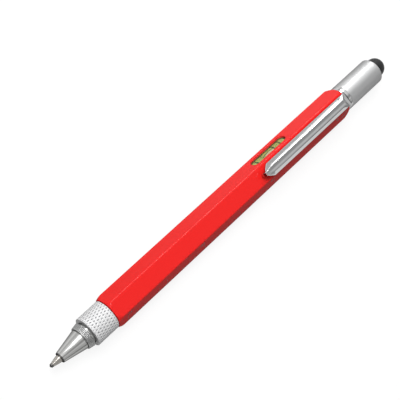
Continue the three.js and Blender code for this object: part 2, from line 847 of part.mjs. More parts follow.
function stylusTip() {
  const end = penLength - domeFront;
  const domeStart = end - domeRadius;
  const hollow = postPinRadius + closeGap;
  const hollowEnd = postPinLength + closeGap;
  const dome = [];
  const steps = 10;
  for (let i = 0; i < steps; i++) {
    const turn = ((i / steps) * Math.PI) / 2;
    dome.push([domeStart + domeRadius * Math.sin(turn), domeRadius * Math.cos(turn)]);
  }
  return turned([
    [hollowEnd, 0],
    [hollowEnd, hollow],
    [0, hollow],
    [0, domeRadius],
    ...dome,
    [end, 0],
  ], fineSides);
}

const finishes = {
  redLacquer: { color: 0xe5302c, roughness: 0.4, metalness: 0.3 },
  chrome: { color: 0xcfd0d2, roughness: 0.15, metalness: 1 },
  satinSilver: { color: 0xc8c9cc, roughness: 0.35, metalness: 1 },
  steel: { color: 0xb4b2ae, roughness: 0.3, metalness: 1 },
  brass: { color: 0xc9a552, roughness: 0.35, metalness: 1 },
  blackRubber: { color: 0x262626, roughness: 0.7, metalness: 0 },
  whitePlastic: { color: 0xe6e6e2, roughness: 0.5, metalness: 0 },
  clearPlastic: { color: 0xe9f2df, roughness: 0.1, metalness: 0, transparent: true, opacity: 0.35 },
  greenFluid: { color: 0xb5d957, roughness: 0.1, metalness: 0, transparent: true, opacity: 0.8 },
  blackInk: { color: 0x15151a, roughness: 0.5, metalness: 0 },
};

// Adds a named piece to a group, with its front at x.
function place(group, name, geometry, finish, x = 0) {
  const mesh = new THREE.Mesh(geometry, new THREE.MeshStandardMaterial(finishes[finish]));
  mesh.name = name;
  mesh.position.x = x;
  group.add(mesh);
}

const pen = new THREE.Group();
pen.position.set(-penLength / 2, 0, barrelFlat);

const refill = new THREE.Group();
place(refill, "writing_ball", writingBall(), "steel");
place(refill, "refill_tip", refillTip(), "steel");
place(refill, "refill_tube", refillTube(), "steel", tipShoulder + faceGap);
place(refill, "refill_ink", refillInk(), "blackInk");
place(refill, "refill_plug", refillPlug(), "whitePlastic", refillLength - plugHeadLength - plugSpigotLength);
place(refill, "refill_carrier", refillCarrier(), "whitePlastic", carrierFront);

const nose = new THREE.Group();
place(nose, "nose_cone", noseCone(), "chrome", tipProud);
place(nose, "knurled_ring", knurledRing(), "satinSilver", ringFront + faceGap);
place(nose, "twist_tube", twistTube(), "brass", tubeFront);
place(nose, "tube_clip", tubeClip(), "steel", tubeClipFront);

const body = new THREE.Group();
place(body, "barrel", hexBarrel(), "redLacquer", barrelFront);
place(body, "nose_bush", noseBush(), "brass", barrelFront);
place(body, "guide_sleeve", guideSleeve(), "whitePlastic", guideFront);
place(body, "clip_ring", clipRing(), "chrome", clipRingFront);
place(body, "bit_holder", bitHolder(), "chrome", shankFront);
place(body, "bit_magnet", bitMagnet(), "steel", magnetFront);
place(body, "cap_friction_ring", capRing(), "blackRubber", flangeBack + oRingGrooveWidth / 2);

const level = new THREE.Group();
level.position.x = levelMiddle;
level.rotation.x = THREE.MathUtils.degToRad(-windowTurn);
place(level, "vial_holder", vialHolder(), "whitePlastic");
const vial = new THREE.Group();
vial.position.z = vialOffset;
place(vial, "level_vial", levelVial(), "clearPlastic");
place(vial, "vial_plug", vialPlug(), "whitePlastic", vialLength / 2 - vialPlugLength);
place(vial, "level_fluid", levelFluid(), "greenFluid");
level.add(vial);
body.add(level);

const tail = new THREE.Group();
place(tail, "clip_arm", clipArm(), "chrome");
place(tail, "screwdriver_bit", screwdriverBit(), "steel", bitFront);
place(tail, "cap_shell", capShell(), "satinSilver", capFront);
place(tail, "stylus_post", stylusPost(), "steel", postFront);
place(tail, "stylus_tip", stylusTip(), "blackRubber", domeFront);

pen.add(refill, nose, body, tail);

const part = new THREE.Group();
part.add(pen);
export default part;
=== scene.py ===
"""Looks of the multifunction pen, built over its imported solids.

Each piece is made by its own operator. The panel in the sidebar lists them.
All lengths in the code are millimetres along, across and out from the pen's own
axis, and are turned into metres when a mesh becomes a piece.
"""

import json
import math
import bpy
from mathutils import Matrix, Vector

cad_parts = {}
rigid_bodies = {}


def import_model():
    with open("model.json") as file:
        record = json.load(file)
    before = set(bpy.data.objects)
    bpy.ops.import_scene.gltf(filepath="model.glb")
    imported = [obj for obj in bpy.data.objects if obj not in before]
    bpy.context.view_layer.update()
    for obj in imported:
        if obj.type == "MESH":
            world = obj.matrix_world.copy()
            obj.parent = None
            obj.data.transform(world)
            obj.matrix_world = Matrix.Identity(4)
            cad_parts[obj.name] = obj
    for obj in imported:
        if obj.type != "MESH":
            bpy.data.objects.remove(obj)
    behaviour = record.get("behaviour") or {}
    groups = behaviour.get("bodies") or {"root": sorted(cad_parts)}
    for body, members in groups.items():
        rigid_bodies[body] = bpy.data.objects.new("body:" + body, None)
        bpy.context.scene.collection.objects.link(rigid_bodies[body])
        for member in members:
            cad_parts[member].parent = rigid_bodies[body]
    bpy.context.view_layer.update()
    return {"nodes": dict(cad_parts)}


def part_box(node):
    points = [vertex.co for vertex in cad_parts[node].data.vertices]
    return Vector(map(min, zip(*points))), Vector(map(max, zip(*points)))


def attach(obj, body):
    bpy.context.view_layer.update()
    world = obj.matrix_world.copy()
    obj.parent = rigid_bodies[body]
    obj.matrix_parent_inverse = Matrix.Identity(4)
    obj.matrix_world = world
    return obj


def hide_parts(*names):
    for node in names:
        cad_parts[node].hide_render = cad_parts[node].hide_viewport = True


bl_info = {
    "name": "Multifunction pen",
    "version": (1, 0, 0),
    "blender": (4, 5, 0),
    "location": "3D View > Sidebar > Pen",
    "description": "Builds the visual pieces, finishes and studio for a hexagonal pen with a spirit level",
    "category": "Object",
}

import bmesh
import bpy
from bpy.props import FloatProperty, FloatVectorProperty, IntProperty, PointerProperty
from bpy.types import Operator, Panel, PropertyGroup
from mathutils import Matrix, Vector

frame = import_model()

MM = 0.001

# Where the ball ends along the row, and how high the pen's axis runs.
BALL_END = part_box("writing_ball")[0].x
AXIS_UP = (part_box("nose_cone")[0].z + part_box("nose_cone")[1].z) / 2


def span(node):
    """The stretch of a node along the pen, in millimetres from the ball's end."""
    low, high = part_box(node)
    return (low.x - BALL_END) / MM, (high.x - BALL_END) / MM


NOSE, RING, BARREL = span("nose_cone"), span("knurled_ring"), span("barrel")
CLIP, CLIP_RING, HOLDER = span("clip_arm"), span("clip_ring"), span("bit_holder")
CAP, DOME, BIT = span("cap_shell"), span("stylus_tip"), span("screwdriver_bit")
VIAL, FLUID = span("level_vial"), span("level_fluid")
VIAL_MIDDLE = (VIAL[0] + VIAL[1]) / 2

# Half the barrel's width across its flats, the rounding of its edges, and the turn to the level's side.
FLAT = 5.0
EDGE_ROUND = 0.6
WINDOW_TURN = math.radians(60)
# The turn that one side of a hexagon takes up, and half of it.
SIXTH = math.pi / 3
TWELFTH = math.pi / 6


# Sizes and colours


class PenPrint(PropertyGroup):
    """Printed scales on the barrel's faces."""

    tick_width: FloatProperty(
        name="Tick width", description="Width of the printed lines", default=0.13 * MM, unit="LENGTH"
    )
    short_tick: FloatProperty(
        name="Short tick", description="Length of the finest lines", default=0.85 * MM, unit="LENGTH"
    )
    middle_tick: FloatProperty(
        name="Middle tick", description="Length of the middle lines", default=1.6 * MM, unit="LENGTH"
    )
    long_tick: FloatProperty(
        name="Long tick", description="Length of the lines at numbers", default=2.7 * MM, unit="LENGTH"
    )
    numeral: FloatProperty(
        name="Numeral height", description="Height of the printed numbers", default=1.5 * MM, unit="LENGTH"
    )
    ink: FloatVectorProperty(
        name="Ink", description="Colour of the printing", default=(0.045, 0.006, 0.006), subtype="COLOR"
    )


class PenKnurl(PropertyGroup):
    """Crossed grooves of the grip ring and of the collar in front of it."""

    around: IntProperty(name="Around", description="Grooves round the grip ring", default=32, min=8)
    along: FloatProperty(
        name="Along", description="Length of a diamond along the pen", default=2.17 * MM, unit="LENGTH"
    )
    depth: FloatProperty(name="Depth", description="Depth of the grooves", default=0.16 * MM, unit="LENGTH")
    collar_around: IntProperty(
        name="Collar around", description="Grooves round the collar", default=64, min=8
    )
    collar_along: FloatProperty(
        name="Collar along", description="Length of a diamond on the collar", default=0.75 * MM, unit="LENGTH"
    )
    collar_depth: FloatProperty(
        name="Collar depth", description="Depth of the collar's grooves", default=0.09 * MM, unit="LENGTH"
    )


class PenFinish(PropertyGroup):
    """Colours of the finishes."""

    lacquer: FloatVectorProperty(
        name="Lacquer", description="Barrel lacquer", default=(0.88, 0.017, 0.015), subtype="COLOR"
    )
    chrome: FloatVectorProperty(
        name="Chrome", description="Polished plating", default=(0.66, 0.663, 0.665), subtype="COLOR"
    )
    satin: FloatVectorProperty(
        name="Satin", description="Brushed cap and grip ring", default=(0.66, 0.663, 0.665), subtype="COLOR"
    )
    rubber: FloatVectorProperty(
        name="Rubber", description="Stylus tip", default=(0.012, 0.012, 0.013), subtype="COLOR"
    )
    fluid: FloatVectorProperty(
        name="Level fluid", description="Liquid of the level", default=(0.41, 0.42, 0.10), subtype="COLOR"
    )


# Node trees


class NodeDesk:
    """Short calls for the nodes of one tree. An input's name has _ for each space."""

    def __init__(self, tree):
        self.tree = tree

    def feed(self, socket, value):
        """Links an input to an output, or sets its own value."""
        if isinstance(value, bpy.types.NodeSocket):
            self.tree.links.new(value, socket)
        else:
            socket.default_value = value

    def node(self, kind, settings=None, **inputs):
        """A new node with its settings and its inputs."""
        made = self.tree.nodes.new(kind)
        for key, value in (settings or {}).items():
            setattr(made, key, value)
        for key, value in inputs.items():
            self.feed(made.inputs[key.replace("_", " ")], value)
        return made

    def calc(self, operation, *values):
        """What a Math node makes of one or two values."""
        made = self.node("ShaderNodeMath", {"operation": operation})
        for socket, value in zip(made.inputs, values):
            self.feed(socket, value)
        return made.outputs[0]

    def add(self, first, second):
        return self.calc("ADD", first, second)

    def less(self, first, second):
        return self.calc("SUBTRACT", first, second)

    def times(self, first, second):
        return self.calc("MULTIPLY", first, second)

    def over(self, first, second):
        return self.calc("DIVIDE", first, second)

    def parts(self, vector):
        """The three numbers of a vector."""
        return self.node("ShaderNodeSeparateXYZ", Vector=vector).outputs


class ShadeDesk(NodeDesk):
    """Short calls that the finishes and the studio share."""

    def coordinates(self, scale):
        """Object coordinates in millimetres, stretched by scale along each axis."""
        source = self.node("ShaderNodeTexCoord").outputs["Object"]
        made = self.node("ShaderNodeMapping", Vector=source, Scale=[value / MM for value in scale])
        return made.outputs["Vector"]

    def noise(self, scale, detail, rough, seed):
        """Noise whose scale is in cycles per millimetre along each axis."""
        made = self.node(
            "ShaderNodeTexNoise",
            {"noise_dimensions": "4D"},
            Vector=self.coordinates(scale), W=seed, Scale=1.0, Detail=detail, Roughness=rough,
        )
        return made.outputs["Fac"]

    def spread(self, value, low, high, start=0.0, end=1.0):
        """A value from start to end, carried over to low to high."""
        made = self.node(
            "ShaderNodeMapRange", Value=value, From_Min=start, From_Max=end, To_Min=low, To_Max=high
        )
        return made.outputs["Result"]

    def mix(self, factor, first, second):
        """A colour between a first one, linked or plain, and a plain second one."""
        made = self.node("ShaderNodeMix", {"data_type": "RGBA"})
        self.feed(made.inputs[0], factor)
        self.feed(made.inputs[6], first if isinstance(first, bpy.types.NodeSocket) else (*first, 1))
        self.feed(made.inputs[7], (*second, 1))
        return made.outputs[2]

    def blend(self, value, start, end, first, second):
        """A colour that goes from a first to a second as a value goes from start to end."""
        return self.mix(self.spread(value, 0, 1, start, end), first, second)

    def seen_rays(self):
        """1 for the rays that show a background, straight or in metal or through glass."""
        rays = self.node("ShaderNodeLightPath").outputs
        seen = rays["Is Camera Ray"]
        for kind in ("Is Glossy Ray", "Is Transmission Ray"):
            seen = self.calc("MAXIMUM", seen, rays[kind])
        return seen


class Coat(ShadeDesk):
    """A new material, with short calls for what feeds its Principled shader."""

    def __init__(self, name, **values):
        self.made = bpy.data.materials.new(name)
        self.made.use_nodes = True
        super().__init__(self.made.node_tree)
        self.shader = self.tree.nodes["Principled BSDF"]
        self.paint(**values)

    def paint(self, **values):
        """Sets or links inputs of the shader."""
        for key, value in values.items():
            self.feed(self.shader.inputs[key.replace("_", " ")], value)

    def rimmed(self, skin, colour, rim):
        """A skin with painted shade at its rims: its colour darkens as it turns away, or turns paler where
        the share left is over 1. rim is where that starts and ends, and the share left.
        """
        start, end, share = rim
        facing = self.node("ShaderNodeLayerWeight", Blend=0.5).outputs["Facing"]
        return self.blend(facing, start, end, skin, tinted(colour, share))

    def bump(self, height, depth):
        """Raises the surface by height, a value of 0 to 1, times a depth."""
        made = self.node("ShaderNodeBump", Strength=1.0, Distance=depth * MM, Height=height)
        self.paint(Normal=made.outputs["Normal"])


class NodeSheet(NodeDesk):
    """A Geometry Nodes tree with named inputs, given with their defaults."""

    def __init__(self, name, **inputs):
        super().__init__(bpy.data.node_groups.new(name, "GeometryNodeTree"))
        sockets = self.tree.interface
        sockets.new_socket(name="Geometry", in_out="OUTPUT", socket_type="NodeSocketGeometry")
        self.ids = {}
        for key, value in inputs.items():
            kind = "NodeSocketInt" if isinstance(value, int) else "NodeSocketFloat"
            socket = sockets.new_socket(name=key.replace("_", " "), in_out="INPUT", socket_type=kind)
            socket.default_value = value
            self.ids[key] = socket.identifier
        self.entry = self.node("NodeGroupInput")

    def get(self, key):
        """The output of one of the tree's inputs."""
        return self.entry.outputs[key.replace("_", " ")]

    def vector(self, x=0.0, y=0.0, z=0.0):
        """A vector out of three numbers."""
        return self.node("ShaderNodeCombineXYZ", X=x, Y=y, Z=z).outputs[0]

    def end(self, geometry, finish):
        """Makes the geometry real, gives it its finish and puts it out."""
        real = self.node("GeometryNodeRealizeInstances", Geometry=geometry)
        paint = self.node("GeometryNodeSetMaterial", Geometry=real.outputs[0], Material=finish)
        self.feed(self.node("NodeGroupOutput").inputs[0], paint.outputs[0])

    def grown(self, **values):
        """The plain mesh that the tree makes with these values."""
        carrier = linked("carrier", bpy.data.meshes.new("carrier"))
        modifier = carrier.modifiers.new("nodes", "NODES")
        modifier.node_group = self.tree
        for key, value in values.items():
            modifier[self.ids[key]] = value
        return baked(carrier)


# Finishes

# Plated metal darkens towards its rims.
METAL_EDGE = (0.2, 0.2, 0.2, 1)


def tinted(colour, share):
    """A colour times a share."""
    return [channel * share for channel in colour]


def red_lacquer(finish):
    """Smooth sprayed lacquer with a fine pearl grain under a clear coat, and painted light that makes it
    paler towards the cap on the level's side.
    """
    coat = Coat("red_lacquer", Specular_IOR_Level=0.0, Coat_Weight=0.09, Coat_Roughness=0.24, Coat_IOR=3.0)
    light = [min(1.0, channel * 1.04 + 0.002) for channel in finish.lacquer]
    pale = [channel + 0.03 for channel in finish.lacquer]
    sprayed = coat.blend(coat.noise((9, 9, 9), 2, 0.6, 1), 0.3, 0.7, tinted(finish.lacquer, 0.93), light)
    along, across, _ = coat.parts(coat.coordinates((1, 1, 1)))
    # Painted light: paler towards the cap and on the level's side, where more light falls.
    painted_light_share = coat.times(coat.spread(along, 0, 1, -50, 60), coat.spread(across, 0, 1, 2.3, 3.4))
    coat.paint(
        Base_Color=coat.mix(painted_light_share, sprayed, pale),
        Roughness=coat.spread(coat.noise((0.6, 1.2, 1.2), 4, 0.6, 2), 0.36, 0.48),
    )
    coat.bump(coat.noise((2.2, 2.2, 2.2), 2, 0.5, 3), 0.004)
    return coat.made


def polished(name, colour, rough, scratch, seed, rim=(0.35, 0.6, 0.6)):
    """Plated or polished metal with faint haze and hair scratches, with painted shade that darkens its colour
    where it turns away.
    """
    coat = Coat(name, Metallic=1.0, Roughness=rough, Specular_Tint=METAL_EDGE)
    haze = coat.noise((0.5, 1.3, 1.3), 5, 0.65, seed)
    plating = coat.blend(haze, 0.35, 0.65, tinted(colour, 0.93), colour)
    coat.paint(
        Base_Color=coat.rimmed(plating, colour, rim),
        Roughness=coat.spread(haze, rough * 0.75, rough * 1.5, 0.3, 0.7),
    )
    coat.bump(coat.noise((1.2, 26, 26), 2, 0.6, seed + 1), scratch)
    return coat.made


def brushed(name, colour, rough, depth, seed, lengthwise=False, pit_shade=None, rim=(0.3, 0.65, 0.75), metal=1.0):
    """Satin metal with fine brushing, round the pen or along it, with painted shade in its pits where it is
    knurled, and its colour painted darker at its rims where it turns away, or paler where the rim's share is
    over 1.
    """
    coat = Coat(name, Metallic=metal, Roughness=rough, Specular_Tint=METAL_EDGE)
    lines = coat.noise((1.0, 40, 40) if lengthwise else (46, 1.4, 1.4), 3, 0.7, seed)
    skin = coat.blend(lines, 0.3, 0.7, tinted(colour, 0.9), colour)
    if pit_shade:
        # Painted shade: the colour darkens in the knurl's pits, by their depth.
        pit_shade_mask = coat.node("ShaderNodeAttribute", {"attribute_name": "pit"}).outputs["Fac"]
        skin = coat.blend(pit_shade_mask, 0.36, 0.68, skin, pit_shade)
    coat.paint(
        Base_Color=coat.rimmed(skin, colour, rim),
        Roughness=coat.spread(lines, rough * 0.8, rough * 1.25, 0.3, 0.7),
    )
    coat.bump(lines, depth)
    return coat.made


def moulded(name, colour, rough, seed):
    """Moulded plastic or rubber with a fine mould texture."""
    coat = Coat(name, Roughness=rough, Specular_IOR_Level=0.4)
    cloud = coat.noise((1.5, 1.5, 1.5), 4, 0.6, seed)
    coat.paint(
        Base_Color=coat.mix(cloud, tinted(colour, 0.88), colour),
        Roughness=coat.spread(cloud, rough * 0.9, rough * 1.1),
    )
    coat.bump(coat.noise((14, 14, 14), 2, 0.6, seed + 1), 0.006)
    return coat.made


def clear_vial():
    """Clear moulded plastic of the level, seen straight through."""
    coat = Coat("vial_clear", Base_Color=(0.62, 0.75, 0.25, 1), Roughness=0.05, IOR=1.49, Alpha=0.12)
    coat.bump(coat.noise((0.5, 0.9, 0.9), 2, 0.5, 31), 0.01)
    coat.paint(Roughness=coat.spread(coat.noise((2, 2, 2), 3, 0.6, 32), 0.03, 0.09))
    return coat.made


def level_liquid(finish):
    """Glowing yellow-green liquid of the level."""
    coat = Coat(
        "level_liquid",
        Roughness=0.1,
        IOR=1.36,
        Subsurface_Weight=0.15,
        Subsurface_Scale=0.5 * MM,
        Subsurface_Radius=(1.0, 1.0, 0.35),
    )
    swirl = coat.noise((0.25, 0.6, 0.6), 3, 0.5, 41)
    skin = coat.blend(swirl, 0.3, 0.7, tinted(finish.fluid, 0.75), finish.fluid)
    coat.paint(Base_Color=skin, Roughness=coat.spread(swirl, 0.05, 0.15))
    return coat.made


def level_bubble():
    """Painted highlight: the bubble's glint, as a pale colour under the clear plastic."""
    coat = Coat("level_bubble", Roughness=0.12, IOR=1.36, Coat_Weight=0.6, Coat_Roughness=0.05)
    cloud = coat.noise((0.4, 1.2, 1.2), 3, 0.5, 43)
    coat.paint(Base_Color=coat.blend(cloud, 0.3, 0.7, (0.52, 0.42, 0.28), (0.62, 0.51, 0.38)))
    return coat.made


def printed_ink(name, colour, seed):
    """Thin pad-printed ink that thins out a little at random."""
    coat = Coat(name, Roughness=0.5, Specular_IOR_Level=0.35)
    thin = [min(1.0, channel * 2.4 + 0.01) for channel in colour]
    cover = coat.noise((5, 5, 5), 3, 0.6, seed)
    coat.paint(
        Base_Color=coat.blend(cover, 0.25, 0.6, thin, colour),
        Roughness=coat.spread(cover, 0.4, 0.6),
    )
    coat.bump(cover, 0.004)
    return coat.made


def floor_finish():
    """A pale matt sheet that shows white where it is seen, and keeps the shadows."""
    coat = Coat("pale_floor", Roughness=0.9, Specular_IOR_Level=0.0, Emission_Color=(1, 1, 1, 1))
    grain = coat.noise((0.8, 0.8, 0.8), 2, 0.5, 51)
    coat.paint(
        Base_Color=coat.mix(grain, (0.155, 0.155, 0.155), (0.17, 0.17, 0.17)),
        Emission_Strength=coat.spread(coat.seen_rays(), 0.0, 0.86),
    )
    return coat.made


def finish_table():
    """Each finish by its name, as its maker and what that is told."""
    finish = bpy.context.scene.pen_finish
    ink = list(bpy.context.scene.pen_print.ink)
    chrome, satin, rubber = list(finish.chrome), list(finish.satin), list(finish.rubber)
    warm = [channel * share for channel, share in zip(chrome, (1, 0.995, 0.975))]
    # The collar's grey is partly its metal's own and partly painted shade, standing for the shade in its fine
    # grooves.
    pale, grey_with_groove_shade = [0.82, 0.82, 0.825], [0.43, 0.432, 0.43]
    # Painted shade: the colours in the bottoms of the knurls' pits.
    pale_pit_shade, grey_pit_shade = (0.17, 0.17, 0.18), (0.06, 0.06, 0.06)
    return {
        "lacquer": (red_lacquer, finish),
        "chrome": (polished, "chrome", chrome, 0.07, 0.002, 5, (0.55, 0.8, 0.6)),
        "nose_chrome": (polished, "nose_chrome", warm, 0.13, 0.002, 7, (0.2, 0.45, 0.58)),
        "satin": (brushed, "satin_cap", satin, 0.48, 0.0025, 9, False, None, (0.3, 0.65, 0.7)),
        "knurl": (brushed, "knurled_satin", pale, 0.55, 0.002, 11, False, pale_pit_shade, (0.5, 0.95, 0.66), 0.15),
        "collar": (brushed, "collar_satin", grey_with_groove_shade, 0.25, 0.002, 13, False, grey_pit_shade, (0.5, 0.9, 1.1)),
        "refill_metal": (polished, "refill_metal", [0.52, 0.495, 0.46], 0.24, 0.003, 15),
        # Dark steel that paints shade: the nose's mouth, the ball's socket and the clip's foot.
        "mouth": (polished, "mouth_steel", [0.17, 0.167, 0.163], 0.25, 0.002, 45),
        "ball": (polished, "ball_carbide", [0.05, 0.048, 0.047], 0.42, 0.002, 17),
        "tool_steel": (brushed, "tool_steel", [0.60, 0.59, 0.57], 0.24, 0.004, 19, True),
        "spring_steel": (brushed, "spring_steel", [0.5, 0.5, 0.5], 0.3, 0.003, 21),
        "magnet": (polished, "magnet_nickel", [0.6, 0.6, 0.61], 0.22, 0.003, 23),
        "brass": (brushed, "brass", [0.75, 0.55, 0.25], 0.28, 0.003, 25),
        "white_plastic": (moulded, "white_plastic", [0.83, 0.84, 0.80], 0.45, 27),
        "rubber": (moulded, "stylus_rubber", rubber, 0.52, 29),
        # Black rubber, for the cap's friction ring and for painted shade in the level's window.
        "seal": (moulded, "seal_rubber", [0.02, 0.02, 0.02], 0.5, 33),
        "vial": (clear_vial,),
        "liquid": (level_liquid, finish),
        "bubble": (level_bubble,),
        "scale_ink": (printed_ink, "scale_ink", ink, 35),
        # Dark green for the painted shade round the bubble.
        "bubble_edge": (moulded, "bubble_edge", [0.13, 0.15, 0.045], 0.2, 47),
        "vial_ink": (printed_ink, "vial_ink", [0.015, 0.03, 0.012], 37),
        "refill_ink": (moulded, "refill_ink", [0.01, 0.01, 0.014], 0.35, 39),
    }


# The finishes made so far, by their names.
FINISHES = {}


def finish_of(name):
    """The material of that name, made the first time it is asked for."""
    if name not in FINISHES:
        maker, *told = finish_table()[name]
        FINISHES[name] = maker(*told)
    return FINISHES[name]


# Meshes


def linked(name, data):
    """A new object in the scene."""
    made = bpy.data.objects.new(name, data)
    bpy.context.scene.collection.objects.link(made)
    return made


def baked(carrier):
    """The plain mesh that an object's modifiers or words come to. The object goes."""
    bpy.context.view_layer.update()
    mesh = bpy.data.meshes.new_from_object(carrier.evaluated_get(bpy.context.evaluated_depsgraph_get()))
    carrier.modifiers.clear()
    bpy.data.objects.remove(carrier)
    return mesh


def piece(name, mesh, finish, body, replaces=(), sharp=40.0):
    """Puts a mesh drawn in millimetres about the pen's axis in the scene, as a piece that rides on a body.

    It is shaded smooth but for edges over sharp degrees, or flat where that is None."""
    mesh.transform(Matrix.Translation((BALL_END, 0, AXIS_UP)) @ Matrix.Scale(MM, 4))
    if sharp is not None:
        mesh.shade_smooth()
        mesh.set_sharp_from_angle(angle=math.radians(sharp))
    mesh.name = name
    made = linked(name, mesh)
    mesh.materials.clear()
    mesh.materials.append(finish_of(finish))
    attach(made, body)
    if replaces:
        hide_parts(*replaces)


def plain_mesh(build, name="piece"):
    """A mesh out of a bmesh, as it is."""
    mesh = bpy.data.meshes.new(name)
    build.to_mesh(mesh)
    build.free()
    return mesh


def mesh_from(build):
    """A mesh out of a bmesh, with its faces turned outwards."""
    bmesh.ops.recalc_face_normals(build, faces=build.faces)
    return plain_mesh(build)


def joined(*meshes):
    """One bmesh out of several meshes."""
    build = bmesh.new()
    for mesh in meshes:
        build.from_mesh(mesh)
    return build


def bent(start, corner, end, t):
    """A point along the curve from start to end that a corner pulls."""
    return (1 - t) ** 2 * start + 2 * t * (1 - t) * corner + t * t * end


def eased(outline, radius):
    """An outline with each inner corner rounded."""
    made = [outline[0]]
    for before, corner, after in zip(outline, outline[1:], outline[2:]):
        a, p, b = Vector(before), Vector(corner), Vector(after)
        cut = min(radius, (a - p).length * 0.45, (b - p).length * 0.45)
        if cut < 1e-4 or (a - p).angle(p - b, 0) < math.radians(8):
            made.append(corner)
            continue
        start, end = p + (a - p).normalized() * cut, p + (b - p).normalized() * cut
        made += [tuple(bent(start, p, end, step / 3)) for step in range(4)]
    made.append(outline[-1])
    return made


def around(x, out, turn):
    """A point at x, at a distance from the pen's axis, and at a turn from straight up."""
    return x, out * math.sin(turn), out * math.cos(turn)


def quarter(along, out, size, steps):
    """A rounded outer edge of an outline: a quarter turn about a point."""
    turns = [math.pi / 2 * i / steps for i in range(steps + 1)]
    return [(along + size * math.sin(turn), out + size * math.cos(turn)) for turn in turns]


def skin_rings(build, rings):
    """Faces from ring to ring of vertices. A ring of one vertex is a tip."""
    for first, second in zip(rings, rings[1:]):
        count = max(len(first), len(second))
        for i in range(count):
            j = (i + 1) % count
            there = [first[k % len(first)] for k in (i, j)]
            back = [second[k % len(second)] for k in (j, i)]
            corners = list(dict.fromkeys(there + back))
            if len(corners) > 2:
                build.faces.new(corners)


def lathe(outline, sides=96):
    """Turns an outline of (along, radius) about the pen's axis. It closes where its ends are one point."""
    build = bmesh.new()
    closed = (Vector(outline[0]) - Vector(outline[-1])).length < 1e-6
    rings = []
    for along, radius in outline[:-1] if closed else outline:
        turns = [2 * math.pi * side / sides for side in range(sides if radius >= 1e-6 else 1)]
        rings.append([build.verts.new(around(along, radius, turn)) for turn in turns])
    skin_rings(build, rings + rings[:1] if closed else rings)
    return build


def loft(rings, endless=False):
    """Skins rings of points, and closes both ends or joins the last ring to the first."""
    build = bmesh.new()
    made = [[build.verts.new(point) for point in ring] for ring in rings]
    skin_rings(build, made + made[:1] if endless else made)
    if not endless:
        build.faces.new(made[0][::-1])
        build.faces.new(made[-1])
    return mesh_from(build)


def turned_piece(name, outline, finish, body, replaces=(), ease=0.05, sides=96):
    """A turned piece with eased edges. Its outline is closed here."""
    drawn = eased([*outline, outline[0]], ease)
    piece(name, mesh_from(lathe(drawn, sides)), finish, body, replaces)


def cut_out(mesh, tool_mesh, operation="DIFFERENCE"):
    """Cuts one mesh out of another, or joins the two."""
    body, tool = linked("cut_body", mesh), linked("cut_tool", tool_mesh)
    modifier = body.modifiers.new("cut", "BOOLEAN")
    modifier.operation = operation
    modifier.solver = "EXACT"
    modifier.object = tool
    cut = baked(body)
    bpy.data.objects.remove(tool)
    return cut


def united(mesh, other):
    """Two overlapping meshes as one skin."""
    return cut_out(mesh, other, "UNION")


def slot_ring(run, radius, height, count=64, middle=0.0):
    """Points round a slot: two half circles of that radius, each that run from the middle."""
    ring = []
    for i in range(count):
        turn = 2 * math.pi * (i + 0.5) / count
        x = math.copysign(run, math.cos(turn)) + radius * math.cos(turn)
        ring.append(Vector((middle + x, radius * math.sin(turn), height)))
    return ring


# Forms that repeat


def knurl_sheet(finish):
    """A tapering band round the pen's axis, cut by two families of crossed grooves."""
    sheet = NodeSheet(
        "knurled_band",
        Length=8.0, Front_radius=5.0, Back_radius=5.0, Around=34, Along=2.17, Depth=0.17,
        Groove_share=0.3, Land=0.1, Steps_around=408, Steps_along=48,
    )
    add, less, times, get = sheet.add, sheet.less, sheet.times, sheet.get
    rows, columns = add(get("Steps along"), 1), add(get("Steps around"), 1)
    grid = sheet.node("GeometryNodeMeshGrid", Vertices_X=rows, Vertices_Y=columns, Size_X=1.0, Size_Y=1.0)
    x, y, _ = sheet.parts(sheet.node("GeometryNodeInputPosition").outputs[0])
    along_share, turn_share = add(x, 0.5), add(y, 0.5)
    along = times(along_share, get("Length"))
    across = times(turn_share, get("Around"))
    shift = sheet.over(along, get("Along"))
    # How far a point is from the middle between two grooves, 0 to 1, in each family.
    off = []
    for leaning in (add(across, shift), less(across, shift)):
        cell = sheet.calc("FRACT", leaning)
        off.append(sheet.calc("ABSOLUTE", less(times(cell, 2.0), 1.0)))
    line = times(sheet.calc("POWER", sheet.calc("MAXIMUM", *off), 3.0), get("Groove share"))
    pit = sheet.calc("MAXIMUM", times(*off), line)
    # The grooves run out at both ends of the band.
    to_end = sheet.calc("MINIMUM", along, less(get("Length"), along))
    fade = sheet.over(less(to_end, get("Land")), get("Land"))
    fade = sheet.calc("MINIMUM", sheet.calc("MAXIMUM", fade, 0.0), 1.0)
    sink = times(times(get("Depth"), fade), pit)
    taper = times(along_share, less(get("Back radius"), get("Front radius")))
    radius = less(add(get("Front radius"), taper), sink)
    angle = times(turn_share, 2 * math.pi)
    # The pits' depth is kept for the finish, which paints shade into them by it.
    marked = sheet.node(
        "GeometryNodeStoreNamedAttribute",
        {"data_type": "FLOAT", "domain": "POINT"},
        Geometry=grid.outputs[0], Name="pit", Value=times(fade, pit),
    )
    bent_round = sheet.node(
        "GeometryNodeSetPosition",
        Geometry=marked.outputs[0],
        Position=sheet.vector(
            along, times(radius, sheet.calc("SINE", angle)), times(radius, sheet.calc("COSINE", angle))
        ),
    )
    sealed = sheet.node("GeometryNodeMergeByDistance", Geometry=bent_round.outputs[0], Distance=1e-4)
    sheet.end(sealed.outputs[0], finish)
    return sheet


